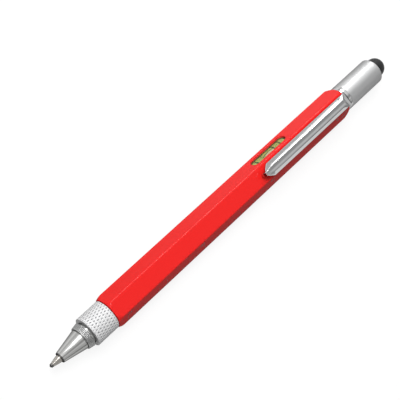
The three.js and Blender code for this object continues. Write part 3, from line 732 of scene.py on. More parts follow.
def ruler_sheet(finish):
    """A row of printed lines that hang from one edge, longer at every fifth or tenth."""
    sheet = NodeSheet(
        "ruler",
        Length=100.0, Divisions=100, Middle_every=5, Long_every=10,
        Width=0.13, Short=0.9, Middle=1.5, Long=2.6,
    )
    get = sheet.get
    count = sheet.add(get("Divisions"), 1)
    step = sheet.over(get("Length"), get("Divisions"))
    line = sheet.node("GeometryNodeMeshLine", Count=count, Offset=sheet.vector(x=step))
    index = sheet.node("GeometryNodeInputIndex").outputs[0]

    def longer(every, length):
        """How much longer a line is than the shortest, where it is one of those."""
        rest = sheet.calc("MODULO", index, get(every))
        return sheet.times(sheet.calc("LESS_THAN", rest, 0.5), sheet.less(get(length), get("Short")))

    most = sheet.calc("MAXIMUM", longer("Middle every", "Middle"), longer("Long every", "Long"))
    tick = sheet.node("GeometryNodeMeshGrid", Vertices_X=2, Vertices_Y=2, Size_X=1.0, Size_Y=1.0)
    hung = sheet.node("GeometryNodeTransform", Geometry=tick.outputs[0], Translation=(0, -0.5, 0))
    rows = sheet.node(
        "GeometryNodeInstanceOnPoints",
        Points=line.outputs[0],
        Instance=hung.outputs[0],
        Scale=sheet.vector(get("Width"), sheet.add(get("Short"), most), 1.0),
    )
    sheet.end(rows.outputs[0], finish)
    return sheet


# Barrel

# How far the lacquer lies within the solid, the bore's radius, and the bevel of the barrel's ends.
SKIN, BORE, END_BEVEL = 0.015, 4.025, 0.09
# The rounding where a flat meets a turned-down end, and the length at each end that has the most sections.
CREASE, FINE_STRETCH = 0.10, 3.2
# Each turned-down end: its radius at the mouth, its length and its bulge. The turning runs out a
# little past the edges.
FRONT_END, BACK_END, RUN_OUT = (5.15, 2.5, 0.13), (4.63, 2.6, 0.07), 0.12
# The level's window: its length and width, and its flare as (depth under the flat, growth).
WINDOW_LENGTH, WINDOW_WIDTH = 15.8, 3.4
WINDOW_FLARE = ((FLAT - 1.5, 0.0), (0.14, 0.0), (0.05, 0.03), (0.012, 0.10), (-1, 0.11))


def hexagon_reach(turn):
    """Distance from the axis to the rounded hexagon's outline in a direction. Flats face up and down."""
    side = abs((turn + TWELFTH) % SIXTH - TWELFTH)
    flat_end = (FLAT - EDGE_ROUND) * math.tan(TWELFTH)
    if FLAT * math.tan(side) <= flat_end:
        return FLAT / math.cos(side)
    middle = (FLAT - EDGE_ROUND) / math.cos(TWELFTH)
    off = TWELFTH - side
    return middle * math.cos(off) + math.sqrt(max(0.0, EDGE_ROUND**2 - (middle * math.sin(off)) ** 2))


def soft_least(a, b, width):
    """The lesser of two values, rounded over where they meet."""
    mix = max(0.0, min(1.0, 0.5 + 0.5 * (b - a) / width))
    return b * (1 - mix) + a * mix - width * mix * (1 - mix)


def barrel_turns():
    """Directions round the barrel: dense at the edges, even along the flats."""
    turns = []
    flat_turn = math.atan((FLAT - EDGE_ROUND) * math.tan(TWELFTH) / FLAT)
    edge = SIXTH - 2 * flat_turn
    for face in range(6):
        base = face * math.pi / 3
        turns += [base + flat_turn * (i / 9) for i in range(-9, 10)]
        turns += [base + flat_turn + edge * i / 8 for i in range(1, 8)]
    return turns


def barrel_mesh():
    """Hexagonal tube with rounded edges, turned down at both ends, with the level's window."""
    front, back = BARREL
    turns = barrel_turns()
    full = hexagon_reach(TWELFTH) + RUN_OUT

    def turned_down(inward, mouth, length, bulge):
        """The turning's radius at a distance from one end."""
        share = min(1.0, inward / length)
        return mouth + (full - mouth) * share + 4 * bulge * share * (1 - share)

    def ring(x, trim=None):
        """The section at x, let in by trim, or the bore where there is none."""
        cover = min(turned_down(x - front, *FRONT_END), turned_down(back - x, *BACK_END))
        points = []
        for turn in turns:
            out = BORE if trim is None else soft_least(hexagon_reach(turn), cover, CREASE) - SKIN - trim
            points.append(around(x, out, turn))
        return points

    fine = [FINE_STRETCH * (i / 26) ** 1.3 for i in range(27)]
    plain = back - front - 2 * FINE_STRETCH
    steps = [front + inward for inward in fine]
    steps += [front + FINE_STRETCH + plain * i / 24 for i in range(1, 24)]
    steps += [back - inward for inward in fine[::-1]]
    margin = END_BEVEL * 0.6
    rings = [ring(front), ring(front, END_BEVEL)]
    rings += [ring(x, 0.0) for x in steps if front + margin < x < back - margin]
    rings += [ring(back, END_BEVEL), ring(back)]
    return cut_out(loft(rings, endless=True), window_cutter())


def window_cutter():
    """A slot with round ends that flares a little at the surface."""
    width = WINDOW_WIDTH / 2
    run = WINDOW_LENGTH / 2 - width
    stand = Matrix.Rotation(-WINDOW_TURN, 3, "X")
    rings = [slot_ring(run, width + grow, FLAT - depth, middle=VIAL_MIDDLE) for depth, grow in WINDOW_FLARE]
    return loft([[stand @ point for point in ring] for ring in rings])


class PEN_OT_barrel(Operator):
    """Build the lacquered hexagonal barrel"""

    bl_idname = "pen.barrel"
    bl_label = "Barrel"

    def execute(self, context):
        piece("barrel_shell", barrel_mesh(), "lacquer", "pen_body", ("barrel",), 35)
        return {"FINISHED"}


# Printed scales

# A numeral's height over the type's size, the bare margin beside a flat's edge, and how far the ink
# lies within the solid, which is less than the lacquer does.
NUMERAL_SHARE, PRINT_MARGIN, INK_DEPTH = 0.72, 0.12, 0.006
# In heights of a numeral: how far numbers stand off their line and the face's edge, how tall a title
# is, and how far the first of its two rows stands off that edge.
NUMBER_OFF, TITLE_SIZE, TITLE_ROW = 0.62, 0.8, 1.65

# Each face's turn from straight up, the way it reads, where its lines start and end, how many they are,
# which of them are longer, its numbers as (place along, text), and its title in the same way.
SCALES = {
    "scale_300": dict(
        turn=-60, reads=-1, start=126.3, end=26.3, divisions=150, middle=5, long=25,
        labels=[(0, "0"), (100 / 3, "10"), (200 / 3, "20"), (100, "30")], title=(-3.2, "1:300\nm"),
    ),
    "scale_200": dict(
        turn=-120, reads=1, start=26.3, end=126.3, divisions=200, middle=5, long=10,
        labels=[(0, "0"), (25, "5"), (50, "10"), (75, "15"), (100, "20")], title=(102.9, "m"),
    ),
    "scale_cm": dict(
        turn=180, reads=1, start=26.3, end=126.3, divisions=100, middle=5, long=10,
        labels=[(10 * i, str(i)) for i in range(0, 11)], title=(103.2, "cm"),
    ),
    "scale_inch": dict(
        turn=120, reads=-1, start=127.8, end=26.2, divisions=64, middle=4, long=16,
        labels=[(25.4 * i, str(i)) for i in range(0, 5)], title=(12.7, "in"),
    ),
}


def number_mesh(text, height, along, across):
    """Flat numerals, centred on a place of the face, reading along +X."""
    curve = bpy.data.curves.new("numeral", "FONT")
    curve.body = text
    curve.size = height / NUMERAL_SHARE
    curve.align_x = "CENTER"
    curve.align_y = "CENTER"
    curve.resolution_u = 3
    mesh = baked(linked("numeral", curve))
    mesh.transform(Matrix.Translation((along, across, 0)))
    return mesh


def print_face(facts, sheet, style):
    """The lines and numerals of one face, as one thin skin over the lacquer."""
    length = abs(facts["end"] - facts["start"])
    width_half = (FLAT - EDGE_ROUND) * math.tan(TWELFTH) - PRINT_MARGIN
    lines = sheet.grown(
        Length=length,
        Divisions=facts["divisions"],
        Middle_every=facts["middle"],
        Long_every=facts["long"],
        Width=style.tick_width / MM,
        Short=style.short_tick / MM,
        Middle=style.middle_tick / MM,
        Long=style.long_tick / MM,
    )
    lines.transform(Matrix.Translation((0, width_half, 0)))
    parts = [lines]
    size = style.numeral / MM
    off = size * NUMBER_OFF
    for along, text in facts["labels"]:
        # The last number stands before its line, to stay on the face.
        shift = off if along + 2 < length else -off
        parts.append(number_mesh(text, size, along + shift, -width_half + off))
    along, text = facts["title"]
    for row, word in enumerate(text.split("\n")):
        across = -width_half + size * (TITLE_ROW - row) if "\n" in text else 0
        parts.append(number_mesh(word, size * TITLE_SIZE, along, across))
    flat = plain_mesh(joined(*parts))
    turn = math.radians(facts["turn"])
    out = Vector((0, math.sin(turn), math.cos(turn)))
    right = Vector((facts["reads"], 0, 0))
    matrix = Matrix((right, out.cross(right), out)).transposed().to_4x4()
    matrix.translation = Vector((facts["start"], 0, 0)) + out * (FLAT - INK_DEPTH)
    flat.transform(matrix)
    return flat


class PEN_OT_scales(Operator):
    """Print the ruled scales on four of the barrel's faces"""

    bl_idname = "pen.scales"
    bl_label = "Printed scales"

    def execute(self, context):
        style = context.scene.pen_print
        sheet = ruler_sheet(finish_of("scale_ink"))
        for name, facts in SCALES.items():
            piece(name, print_face(facts, sheet, style), "scale_ink", "pen_body", sharp=None)
        return {"FINISHED"}


# Nose

# Radii of the nose cone: its mouth's bore and lip, its back end, its spigot in the ring, and its bore.
MOUTH, MOUTH_LIP, CONE_BACK, SPIGOT, TWIST_BORE = 1.33, 1.75, 3.4, 3.33, 2.0
# The grip ring's radius over its knurl and at its edges' foot, and its bore's.
RING_RADIUS, RING_EDGE, RING_BORE = 4.95, 4.80, 3.66
# The collar's radii over its knurl at the front and the back, and that of its seat.
COLLAR_FRONT, COLLAR_BACK, COLLAR_SEAT = 3.84, 4.15, 3.4
# The plain rim at each end of a knurled band.
RIM = 0.12


def knurled_mesh(sheet, outline, count, along, depth, land, fineness):
    """A knurled band from the last point of an outline to its first, closed by that outline.

    It has count grooves, with fineness steps to each, and its plain edges are land wide."""
    (low, front), (high, back) = outline[0], outline[-1]
    sides = count * fineness
    band = sheet.grown(
        Length=high - low,
        Front_radius=front,
        Back_radius=back,
        Around=count,
        Along=along / MM,
        Depth=depth / MM,
        Land=land,
        Steps_around=sides,
        Steps_along=44,
    )
    band.transform(Matrix.Translation((low, 0, 0)))
    whole = joined(band, plain_mesh(lathe(outline, sides)))
    bmesh.ops.remove_doubles(whole, verts=whole.verts, dist=0.002)
    return mesh_from(whole)


class PEN_OT_nose(Operator):
    """Turn the nose cone, the knurled collar and the knurled grip ring"""

    bl_idname = "pen.nose"
    bl_label = "Nose and grip ring"

    def execute(self, context):
        knurl = context.scene.pen_knurl
        front, back = NOSE
        groove_front, groove_back = front + 7.9, front + 8.15
        shoulder = RING[0] - 0.05
        cone = [
            (front + 0.5, MOUTH), (front + 0.3, MOUTH + 0.03), (front + 0.3, MOUTH_LIP + 0.06),
            (groove_front, CONE_BACK), (groove_front, CONE_BACK - 0.22), (groove_back, CONE_BACK - 0.22),
            (groove_back, 3.55), (shoulder, 3.6), (shoulder, SPIGOT), (back, SPIGOT),
            (back, TWIST_BORE), (front + 4.8, TWIST_BORE), (front + 4.0, MOUTH),
        ]
        turned_piece("nose_cone_shell", cone, "nose_chrome", "nose", ("nose_cone",), sides=128)
        # Painted shade: a dark ring in the nose's mouth, round the refill.
        mouth = [
            (front, 1.25), (front, 1.66), (front + 0.05, 1.74), (front + 0.28, 1.8), (front + 0.28, 1.25),
        ]
        turned_piece("nose_mouth_shade", mouth, "mouth", "nose", ease=0.03)

        sheet = knurl_sheet(finish_of("knurl"))
        low, high = RING
        # Each edge is rounded in three steps, as (from the end, radius).
        edge = [(RIM, RING_RADIUS), (0.05, 4.93), (0.01, 4.87), (0.0, RING_EDGE)]
        outline = [(low + off, out) for off, out in edge] + [(low, RING_BORE), (high, RING_BORE)]
        outline += [(high - off, out) for off, out in edge[::-1]]
        ring = knurled_mesh(sheet, outline, knurl.around, knurl.along, knurl.depth, 0.08, 12)
        piece("grip_ring", ring, "knurl", "nose", ("knurled_ring",), 50)

        low, high = groove_back + 0.02, shoulder - 0.85
        outline = [
            (low + RIM, COLLAR_FRONT), (low + 0.04, 3.81), (low, 3.72), (low, COLLAR_SEAT),
            (high, COLLAR_SEAT), (high, 4.04), (high - 0.04, 4.12), (high - RIM, COLLAR_BACK),
        ]
        collar = knurled_mesh(
            sheet, outline, knurl.collar_around, knurl.collar_along, knurl.collar_depth, 0.04, 8
        )
        piece("collar_knurl", collar, "collar", "nose", sharp=60)
        return {"FINISHED"}


# Refill

BALL_RADIUS = 0.5
POINT_RADIUS = 1.175


class PEN_OT_refill(Operator):
    """Turn the refill's point and its ball"""

    bl_idname = "pen.refill"
    bl_label = "Refill point"

    def execute(self, context):
        turns = [math.pi * i / 14 for i in range(15)]
        ball = [(BALL_RADIUS - BALL_RADIUS * math.cos(turn), BALL_RADIUS * math.sin(turn)) for turn in turns]
        ball[0], ball[-1] = (ball[0][0], 0.0), (ball[-1][0], 0.0)
        piece("ball", mesh_from(lathe(ball, 48)), "ball", "refill", ("writing_ball",), 60)
        # The ball's socket is dark steel, as painted shade round the ball.
        socket = [(0.33, 0.50), (0.30, 0.56), (0.42, 0.62), (0.83, 0.655), (0.83, 0.46), (0.6, 0.52)]
        turned_piece("ball_socket", socket, "mouth", "refill", ease=0.03, sides=48)
        point = [
            (0.85, 0.50), (0.85, 0.66), (0.95, 0.67), (1.05, 0.72), (3.05, 1.165), (3.2, POINT_RADIUS),
            (9.4, POINT_RADIUS), (9.4, 0.8), (12.4, 0.8), (12.4, 0.3), (1.1, 0.3), (1.1, 0.55),
        ]
        turned_piece("refill_point", point, "refill_metal", "refill", ("refill_tip",), 0.06, 64)
        return {"FINISHED"}


# Spirit level, drawn in its own frame: its middle at 0 along the pen, and the window straight up

PAD_HALF_LENGTH, PAD_HALF_WIDTH = 15.4 / 2, 3.0 / 2
PAD_TOP, PAD_CROWN = FLAT - 0.45, 0.2
VIAL_RADIUS, VIAL_BORE, FLUID_RADIUS = 2.5, 2.0, 1.9
# Where the liquid ends and the plug begins.
FLUID_END = 6.7
# Where the bubble's middle lies, and how it leans.
BUBBLE_SPOT, BUBBLE_LEAN = (-0.1, -0.58), math.radians(10)
# Half the length and width of the outer and inner outline of the dark ring that paints the shade in the gap
# round the vial.
GAP_SHADE_OUTER, GAP_SHADE_INNER = (7.89, 1.69), (7.6, 1.4)
# The level's lines, as (place along, half the width).
LEVEL_LINES = ((-6.0, 0.15), (-3.2, 0.07), (2.2, 0.15), (5.0, 0.15))


def vial_lift():
    """Height of the vial's axis above the pen's, towards the window."""
    low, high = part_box("vial_plug")
    side = (low.y + high.y) / 2 / MM
    up = ((low.z + high.z) / 2 - AXIS_UP) / MM
    return math.hypot(side, up)


def vial_turned(*outline):
    """A solid turned about the vial's axis."""
    mesh = mesh_from(lathe(outline))
    mesh.transform(Matrix.Translation((0, 0, vial_lift())))
    return mesh


def crowned_pad(inset, top):
    """A long pad with round ends and a crowned top."""
    half = PAD_HALF_WIDTH - inset
    run = PAD_HALF_LENGTH - PAD_HALF_WIDTH
    turns = [math.pi / 2 * i / 10 for i in range(11)]
    crown = [(half * math.cos(turn), top - PAD_CROWN + PAD_CROWN * math.sin(turn)) for turn in turns]
    crown[-1] = (0.02, crown[-1][1])
    return loft([slot_ring(run, width, height, 48) for width, height in [(half, 0.5)] + crown])


def slot_solid(outline, low, high):
    """A solid with a slot's outline, given as half its length and width."""
    half_length, half_width = outline
    return loft([slot_ring(half_length - half_width, half_width, height) for height in (low, high)])


def bubble_mesh(half_length, half_width, half_height, drop):
    """A long flat bubble under the window's clip side, with its middle that far from the pad's top."""
    build = bmesh.new()
    bmesh.ops.create_uvsphere(build, u_segments=40, v_segments=20, radius=1.0)
    made = mesh_from(build)
    made.transform(
        Matrix.Translation((*BUBBLE_SPOT, PAD_TOP + drop))
        @ Matrix.Rotation(BUBBLE_LEAN, 4, "X")
        @ Matrix.Diagonal((half_length, half_width, half_height, 1))
    )
    return made


def line_mesh():
    """The level's lines, as a thin skin over the pad's crown."""
    build = bmesh.new()
    for off, half in LEVEL_LINES:
        rows = []
        for x in (off - half, off + half):
            turns = [math.pi / 2 * i / 10 for i in range(-9, 10)]
            rows.append(
                [
                    build.verts.new(
                        (
                            x,
                            PAD_HALF_WIDTH * math.sin(turn) * 1.001,
                            PAD_TOP - PAD_CROWN + PAD_CROWN * math.cos(turn) + 0.006,
                        )
                    )
                    for turn in turns
                ]
            )
        first, second = rows
        for i in range(len(first) - 1):
            build.faces.new((first[i], second[i], second[i + 1], first[i + 1]))
    return plain_mesh(build)


class PEN_OT_level(Operator):
    """Make the vial, its liquid, its bubble and its marks"""

    bl_idname = "pen.level"
    bl_label = "Spirit level"

    def execute(self, context):
        half = (VIAL[1] - VIAL[0]) / 2
        stand = Matrix.Translation((VIAL_MIDDLE, 0, 0)) @ Matrix.Rotation(-WINDOW_TURN, 4, "X")

        def level_piece(name, mesh, finish, replaces=(), sharp=40.0):
            mesh.transform(stand)
            piece(name, mesh, finish, "pen_body", replaces, sharp)

        tube = vial_turned(
            (-half, 0.0), (-half, 2.1), (-half + 0.12, 2.38), (-half + 0.4, VIAL_RADIUS),
            (half - 0.1, VIAL_RADIUS), (half, 2.4), (half, 0.0),
        )
        bore = vial_turned((-half + 0.5, 0), (-half + 0.5, VIAL_BORE), (half + 1, VIAL_BORE), (half + 1, 0))
        shell = cut_out(united(tube, crowned_pad(0.0, PAD_TOP)), bore)
        shell = cut_out(shell, crowned_pad(0.2, PAD_TOP - 0.2))
        level_piece("vial_tube", shell, "vial", ("level_vial",), 35)

        front = FLUID[0] - VIAL_MIDDLE
        column = vial_turned((front, 0), (front, FLUID_RADIUS), (FLUID_END, FLUID_RADIUS), (FLUID_END, 0))
        plug_front = FLUID_END + 0.05
        plug_room = vial_turned((plug_front, 0), (plug_front, VIAL_BORE), (half, VIAL_BORE), (half, 0))
        liquid = cut_out(united(column, crowned_pad(0.26, PAD_TOP - 0.26)), plug_room)
        # Painted shade: a dark green solid under the bubble shows the dark edge round it.
        rim = bubble_mesh(3.75, 1.0, 0.25, -0.47)
        liquid = cut_out(liquid, rim.copy())
        level_piece("level_liquid_body", liquid, "liquid", ("level_fluid",))
        rim.transform(Matrix.Translation((0, 0, -0.004)))
        level_piece("bubble_edge", rim, "bubble_edge", sharp=60)
        # Painted highlight: the bubble as a pale solid, for its glint.
        level_piece("level_bubble", bubble_mesh(2.8, 0.6, 0.3, -0.455), "bubble", sharp=60)

        # Painted shade: a dark ring in the gap between the window's wall and the vial.
        seal = cut_out(slot_solid(GAP_SHADE_OUTER, 3.9, PAD_TOP - 0.27), slot_solid(GAP_SHADE_INNER, 3.8, PAD_TOP))
        level_piece("window_gap_shade", seal, "seal")
        level_piece("vial_marks", line_mesh(), "vial_ink", sharp=None)
        return {"FINISHED"}


# Clip

# The clip's top above the axis, its place across, the sheet's thickness, and the hollow along its web.
CLIP_TOP, CLIP_SIDE, SHEET, HOLLOW = 8.597, -0.1, 0.55, 0.08
# Half the width of the whole strip, of its web, and at its shoulder fold.
CLIP_HALF, CLIP_WEB, SHOULDER = 2.35, 0.94, 1.28
# How far under the top the shoulder lies, along the strip and at the tail, and the flank and the side's edge.
SHOULDER_DROP, TAIL_SHOULDER_DROP, FLANK_DROP, SIDE_DEPTH = 0.23, 0.29, 1.2, 1.8
# How far behind the solid's front end the foot stands, half its width and its web's, and its side's depth.
FOOT_BACK, FOOT_HALF, FOOT_WEB, FOOT_SIDE = 1.0, 0.62, 0.46, 0.5
# The radius of the bend at the foot, and how far the strip takes from there to its full width.
BEND, TAIL_RUN = 0.55, 3.0


def clip_section(half, web, shoulder, drop, side, sheet=SHEET, hollow=HOLLOW):
    """The folded sheet's section as (across, depth), with its folds rounded and its web a little hollow.

    web and shoulder are (across, depth)."""
    inner = half - sheet
    inner_web = min(web[0] * 0.8, inner * 0.45)
    inner_shoulder = inner_web + (inner - inner_web) * 0.55
    # Each corner's (across, depth, rounding), from the web's middle round one side and back inside.
    hand = [
        (0.0, web[1] + hollow, 0.5),
        (*web, 0.085),
        (*shoulder, 0.06),
        (half, drop, 0.16),
        (half, side, 0.1),
        (inner, side, 0.1),
        (inner, drop + sheet * 0.9, 0.15),
        (inner_shoulder, sheet + shoulder[1] * 0.8 + web[1] * 0.2, 0.15),
        (inner_web, web[1] + sheet, 0.15),
    ]
    corners = hand + [(-across, depth, size) for across, depth, size in hand[:0:-1]]
    made = []
    for i, (across, depth, size) in enumerate(corners):
        a, b = Vector(corners[i - 1][:2]), Vector(corners[(i + 1) % len(corners)][:2])
        p = Vector((across, depth))
        start = p + (a - p).normalized() * min(size, (a - p).length * 0.45)
        end = p + (b - p).normalized() * min(size, (b - p).length * 0.45)
        made += [bent(start, p, end, step / 4) for step in range(5)]
    return made


def flat_ring(x, section):
    """A section of the clip where it runs straight along the pen."""
    return [Vector((x, p.x + CLIP_SIDE, CLIP_TOP - p.y)) for p in section]


def clip_tail():
    """Rings of the clip from its foot up round the bend and along to the full section."""
    tail = CLIP[0] + FOOT_BACK
    # Up the foot, which leans forward at its end, round the bend and along the top, as (x, height).
    path = [(tail - 0.2, 6.25), (tail - 0.13, 6.45), (tail - 0.04, 6.7), (tail, 7.0), (tail, 7.5)]
    for i in range(9):
        turn = math.pi / 2 * i / 8
        path.append((tail + BEND * (1 - math.cos(turn)), CLIP_TOP - BEND + BEND * math.sin(turn)))
    path += [(tail + BEND + 0.15 * i, CLIP_TOP) for i in range(1, 24)]
    rings = []
    for i, (x, z) in enumerate(path):
        before, after = path[max(i - 1, 0)], path[min(i + 1, len(path) - 1)]
        along = Vector((after[0] - before[0], 0, after[1] - before[1])).normalized()
        inward = Vector((along.z, 0, -along.x))
        share = 1 - (1 - min(1.0, max(0.0, (x - tail + 0.05) / TAIL_RUN))) ** 1.08
        half = FOOT_HALF + (CLIP_HALF - FOOT_HALF) * share
        web = FOOT_WEB + (CLIP_WEB - FOOT_WEB) * share
        fold = web + 0.06 + (SHOULDER - CLIP_WEB - 0.06) * share
        fold_drop = TAIL_SHOULDER_DROP * (0.25 + 0.75 * share)
        drop = fold_drop + (half - fold) * (FLANK_DROP - TAIL_SHOULDER_DROP) / (CLIP_HALF - SHOULDER)
        side = max(FOOT_SIDE + (SIDE_DEPTH - FOOT_SIDE) * share, drop + 0.45)
        sheet = min(SHEET, half * 0.55)
        section = clip_section(half, (web, 0.0), (fold, fold_drop), drop, side, sheet, HOLLOW * share)
        rings.append([Vector((x, 0, z)) + inward * p.y + Vector((0, p.x + CLIP_SIDE, 0)) for p in section])
    for x in (102, 110, 118, 125):
        share = min(1.0, (x - 94) / 26)
        fold_drop = TAIL_SHOULDER_DROP + (SHOULDER_DROP - TAIL_SHOULDER_DROP) * share
        section = clip_section(CLIP_HALF, (CLIP_WEB, 0.0), (SHOULDER, fold_drop), FLANK_DROP, SIDE_DEPTH)
        rings.append(flat_ring(x, section))
    return rings


def clip_head():
    """Rings of the clip's head, where the folded bar flattens and slopes down to the ring."""
    root = CLIP_RING[1] - 0.55
    knee, turn = root - 4.45, root - 1.6
    # How far the strip flattens before the knee, and falls from there to the turn and on to its root.
    lead, knee_fall, root_fall = 1.6, 1.5, 1.87
    # Where the flattened bar's edge lies across and under the top.
    wide, low = 2.15, 0.72
    rings = []
    for i in range(49):
        x = knee - lead + (root - knee + lead) * i / 48
        fall = max(0.0, x - knee) * knee_fall / (turn - knee)
        if x >= turn:
            fall = knee_fall + (x - turn) * root_fall / (root - turn)
        flat = min(1.0, (x - knee + lead) / 2.4)
        flat = flat * flat * (3 - 2 * flat)
        edge = SHOULDER + (wide - SHOULDER) * flat
        edge_drop = SHOULDER_DROP + (low - SHOULDER_DROP) * flat
        drop = FLANK_DROP - 0.02 * flat
        if fall <= edge_drop:
            web = CLIP_WEB + (edge - CLIP_WEB) * fall / edge_drop
            shoulder = (max(edge, web + 0.03), edge_drop + 0.01)
        else:
            share = min(1.0, (fall - edge_drop) / max(0.05, drop - edge_drop))
            web = edge + (CLIP_HALF - 0.08 - edge) * share
            shoulder = (web + (CLIP_HALF - web) * 0.5, fall + (max(drop, fall + 0.06) - fall) * 0.5)
        drop = max(drop, fall + 0.06)
        side = max(SIDE_DEPTH, drop + 0.62)
        hollow = HOLLOW * max(0.0, 1 - 2 * fall)
        rings.append(flat_ring(x, clip_section(CLIP_HALF, (web, fall), shoulder, drop, side, hollow=hollow)))
    return rings


def foot_end_mesh():
    """A thin dark plate of painted shade, down the front of the clip's foot."""
    low, tall, straight_from, proud = 6.72, 1.42, 7.0, 0.012
    corners = ((0, -1), (0, 1), (0.2, 1), (0.2, -1))
    rings = []
    for i in range(9):
        height = low + tall * i / 8
        lean = 0.17 * max(0.0, (straight_from - height) / 0.75)
        half = 0.58 - 0.1 * abs(i - 4) / 4
        x = CLIP[0] + FOOT_BACK - lean - proud
        rings.append([Vector((x + deep, side * half + CLIP_SIDE, height)) for deep, side in corners])
    return loft(rings)


def clip_mesh():
    """The folded strip, with room at its root for the ring under it."""
    front, back, radius = BARREL[1] - 1, CLIP_RING[1] + 1, 4.68
    room = mesh_from(lathe([(front, 0), (front, radius), (back, radius), (back, 0)], 128))
    return cut_out(loft(clip_tail() + clip_head()), room)


class PEN_OT_clip(Operator):
    """Fold the pocket clip and turn the ring that holds it"""

    bl_idname = "pen.clip"
    bl_label = "Pocket clip"

    def execute(self, context):
        piece("clip_strip", clip_mesh(), "chrome", "clip", ("clip_arm",), 42)
        # Painted shade: a dark plate on the front of the clip's foot.
        piece("clip_foot_shade", foot_end_mesh(), "mouth", "clip", sharp=30)
        low, high = CLIP_RING
        washer = [(low, 3.84), (low, 4.6), (high, 4.6), (high, 3.84)]
        turned_piece("clip_washer", washer, "chrome", "pen_body", ("clip_ring",), 0.07, 128)
        return {"FINISHED"}


# Bit holder and bit

# The radii of the holder in the barrel, of its flange, of the neck behind that, and under the cap.
HOLDER_SEAT, FLANGE, NECK, KNOB = 3.725, 4.61, 3.2, 3.7
# Half the width of the bit's socket across its flats.
SOCKET_FLAT = 2.15
# The bit: half its width across its flats, its shank's radius, and where its shoulder and its blade
# begin, before its back end.
BIT_FLAT, SHANK, BIT_SHOULDER, BLADE = 2.0, 0.95, 8.1, 4.3


def holder_mesh():
    """The turned bit holder with its hexagonal socket."""
    front, back = HOLDER
    flange_front, flange_back = CLIP_RING[1] + 0.05, CAP[0] - 0.05
    outline = [
        (front, 0.0), (front, HOLDER_SEAT), (flange_front, HOLDER_SEAT), (flange_front, FLANGE),
        (flange_back, FLANGE), (flange_back, NECK), (flange_back + 0.8, NECK), (flange_back + 0.8, KNOB),
        (flange_back + 2.3, KNOB), (flange_back + 2.35, KNOB - 0.1), (flange_back + 2.5, KNOB - 0.1),
        (flange_back + 2.55, KNOB), (back - 0.35, KNOB), (back, 3.4), (back, 0.0),
    ]
    corner = SOCKET_FLAT / math.cos(TWELFTH)
    turns = [TWELFTH + i * math.pi / 3 for i in range(6)]
    stops = ((front + 0.75, 0.0), (back - 0.25, 0.0), (back + 0.02, 0.22), (back + 0.5, 0.5))
    socket = [[around(x, corner + grow, turn) for turn in turns] for x, grow in stops]
    return cut_out(mesh_from(lathe(eased(outline, 0.06), 128)), loft(socket))


def bit_mesh():
    """A double-ended bit: hexagon in the middle, a ground blade at the back and a cross tip in front."""
    front, back = BIT
    shoulder, cross_back = back - BIT_SHOULDER, front + 2.6
    stops = [
        (front, 0.28), (front + 1.7, SHANK), (front + 3.4, SHANK), (front + 5.6, 2.42), (shoulder, 2.42),
        (shoulder + 2.4, SHANK), (back - BLADE, SHANK), (back - 0.12, 1.0), (back, 0.9),
    ]

    def round_reach(x):
        """The radius of the turned form, which runs smoothly between a hexagon and a shank."""
        for (x0, r0), (x1, r1) in zip(stops, stops[1:]):
            if x <= x1:
                t = (x - x0) / (x1 - x0)
                smooth = t * t * (3 - 2 * t) if abs(r1 - r0) > 0.5 and x0 > front + 1 else t
                return r0 + (r1 - r0) * smooth
        return stops[-1][1]

    def thickness(x):
        """Half the blade's thickness, or more than the bit's where it isn't ground."""
        if x < back - BLADE:
            return 9.0
        t = (x - back + BLADE) / BLADE
        return 0.98 * (1 - t) ** 2.2 + 0.25

    stations = [front + 5.8 * i / 34 for i in range(35)]
    stations += [front + 5.8 + (shoulder - 0.2 - front - 5.8) * i / 6 for i in range(1, 6)]
    stations += [shoulder - 0.2 + (back - shoulder + 0.2) * i / 60 for i in range(61)]
    rings = []
    for x in stations:
        ring = []
        limit = thickness(x)
        for i in range(96):
            turn = 2 * math.pi * i / 96
            sector = (turn + TWELFTH) % SIXTH - TWELFTH
            out = min(BIT_FLAT / math.cos(sector), round_reach(x))
            y, z = max(-limit, min(limit, out * math.sin(turn))), out * math.cos(turn)
            if x < cross_back:
                flute = 0.42 * max(0.0, math.cos(2 * turn + math.pi) ** 2 - 0.25)
                flute *= min(1.0, (cross_back - x) / 1.2)
                y, z = y * (1 - flute), z * (1 - flute)
            ring.append((x, y, z))
        rings.append(ring)
    return loft(rings)


class PEN_OT_holder(Operator):
    """Turn the bit holder and grind the screwdriver bit"""

    bl_idname = "pen.holder"
    bl_label = "Bit holder and bit"

    def execute(self, context):
        piece("holder_knob", holder_mesh(), "chrome", "pen_body", ("bit_holder",), 38)
        piece("bit_blade", bit_mesh(), "tool_steel", "bit", ("screwdriver_bit",), 38)
        return {"FINISHED"}


# Cap

# The cap's radius, the rounding of its back rim, its bore, and the opening round the rubber tip.
CAP_RADIUS, CAP_RIM, CAP_BORE, CAP_MOUTH = 4.62, 0.6, 3.93, 3.55
# The rubber tip's radius, that of its straight skirt, and of the room for its post, with that room's depth.
DOME_RADIUS, SKIRT, POST_ROOM, POST_DEPTH = 3.45, 3.44, 1.7, 3.6


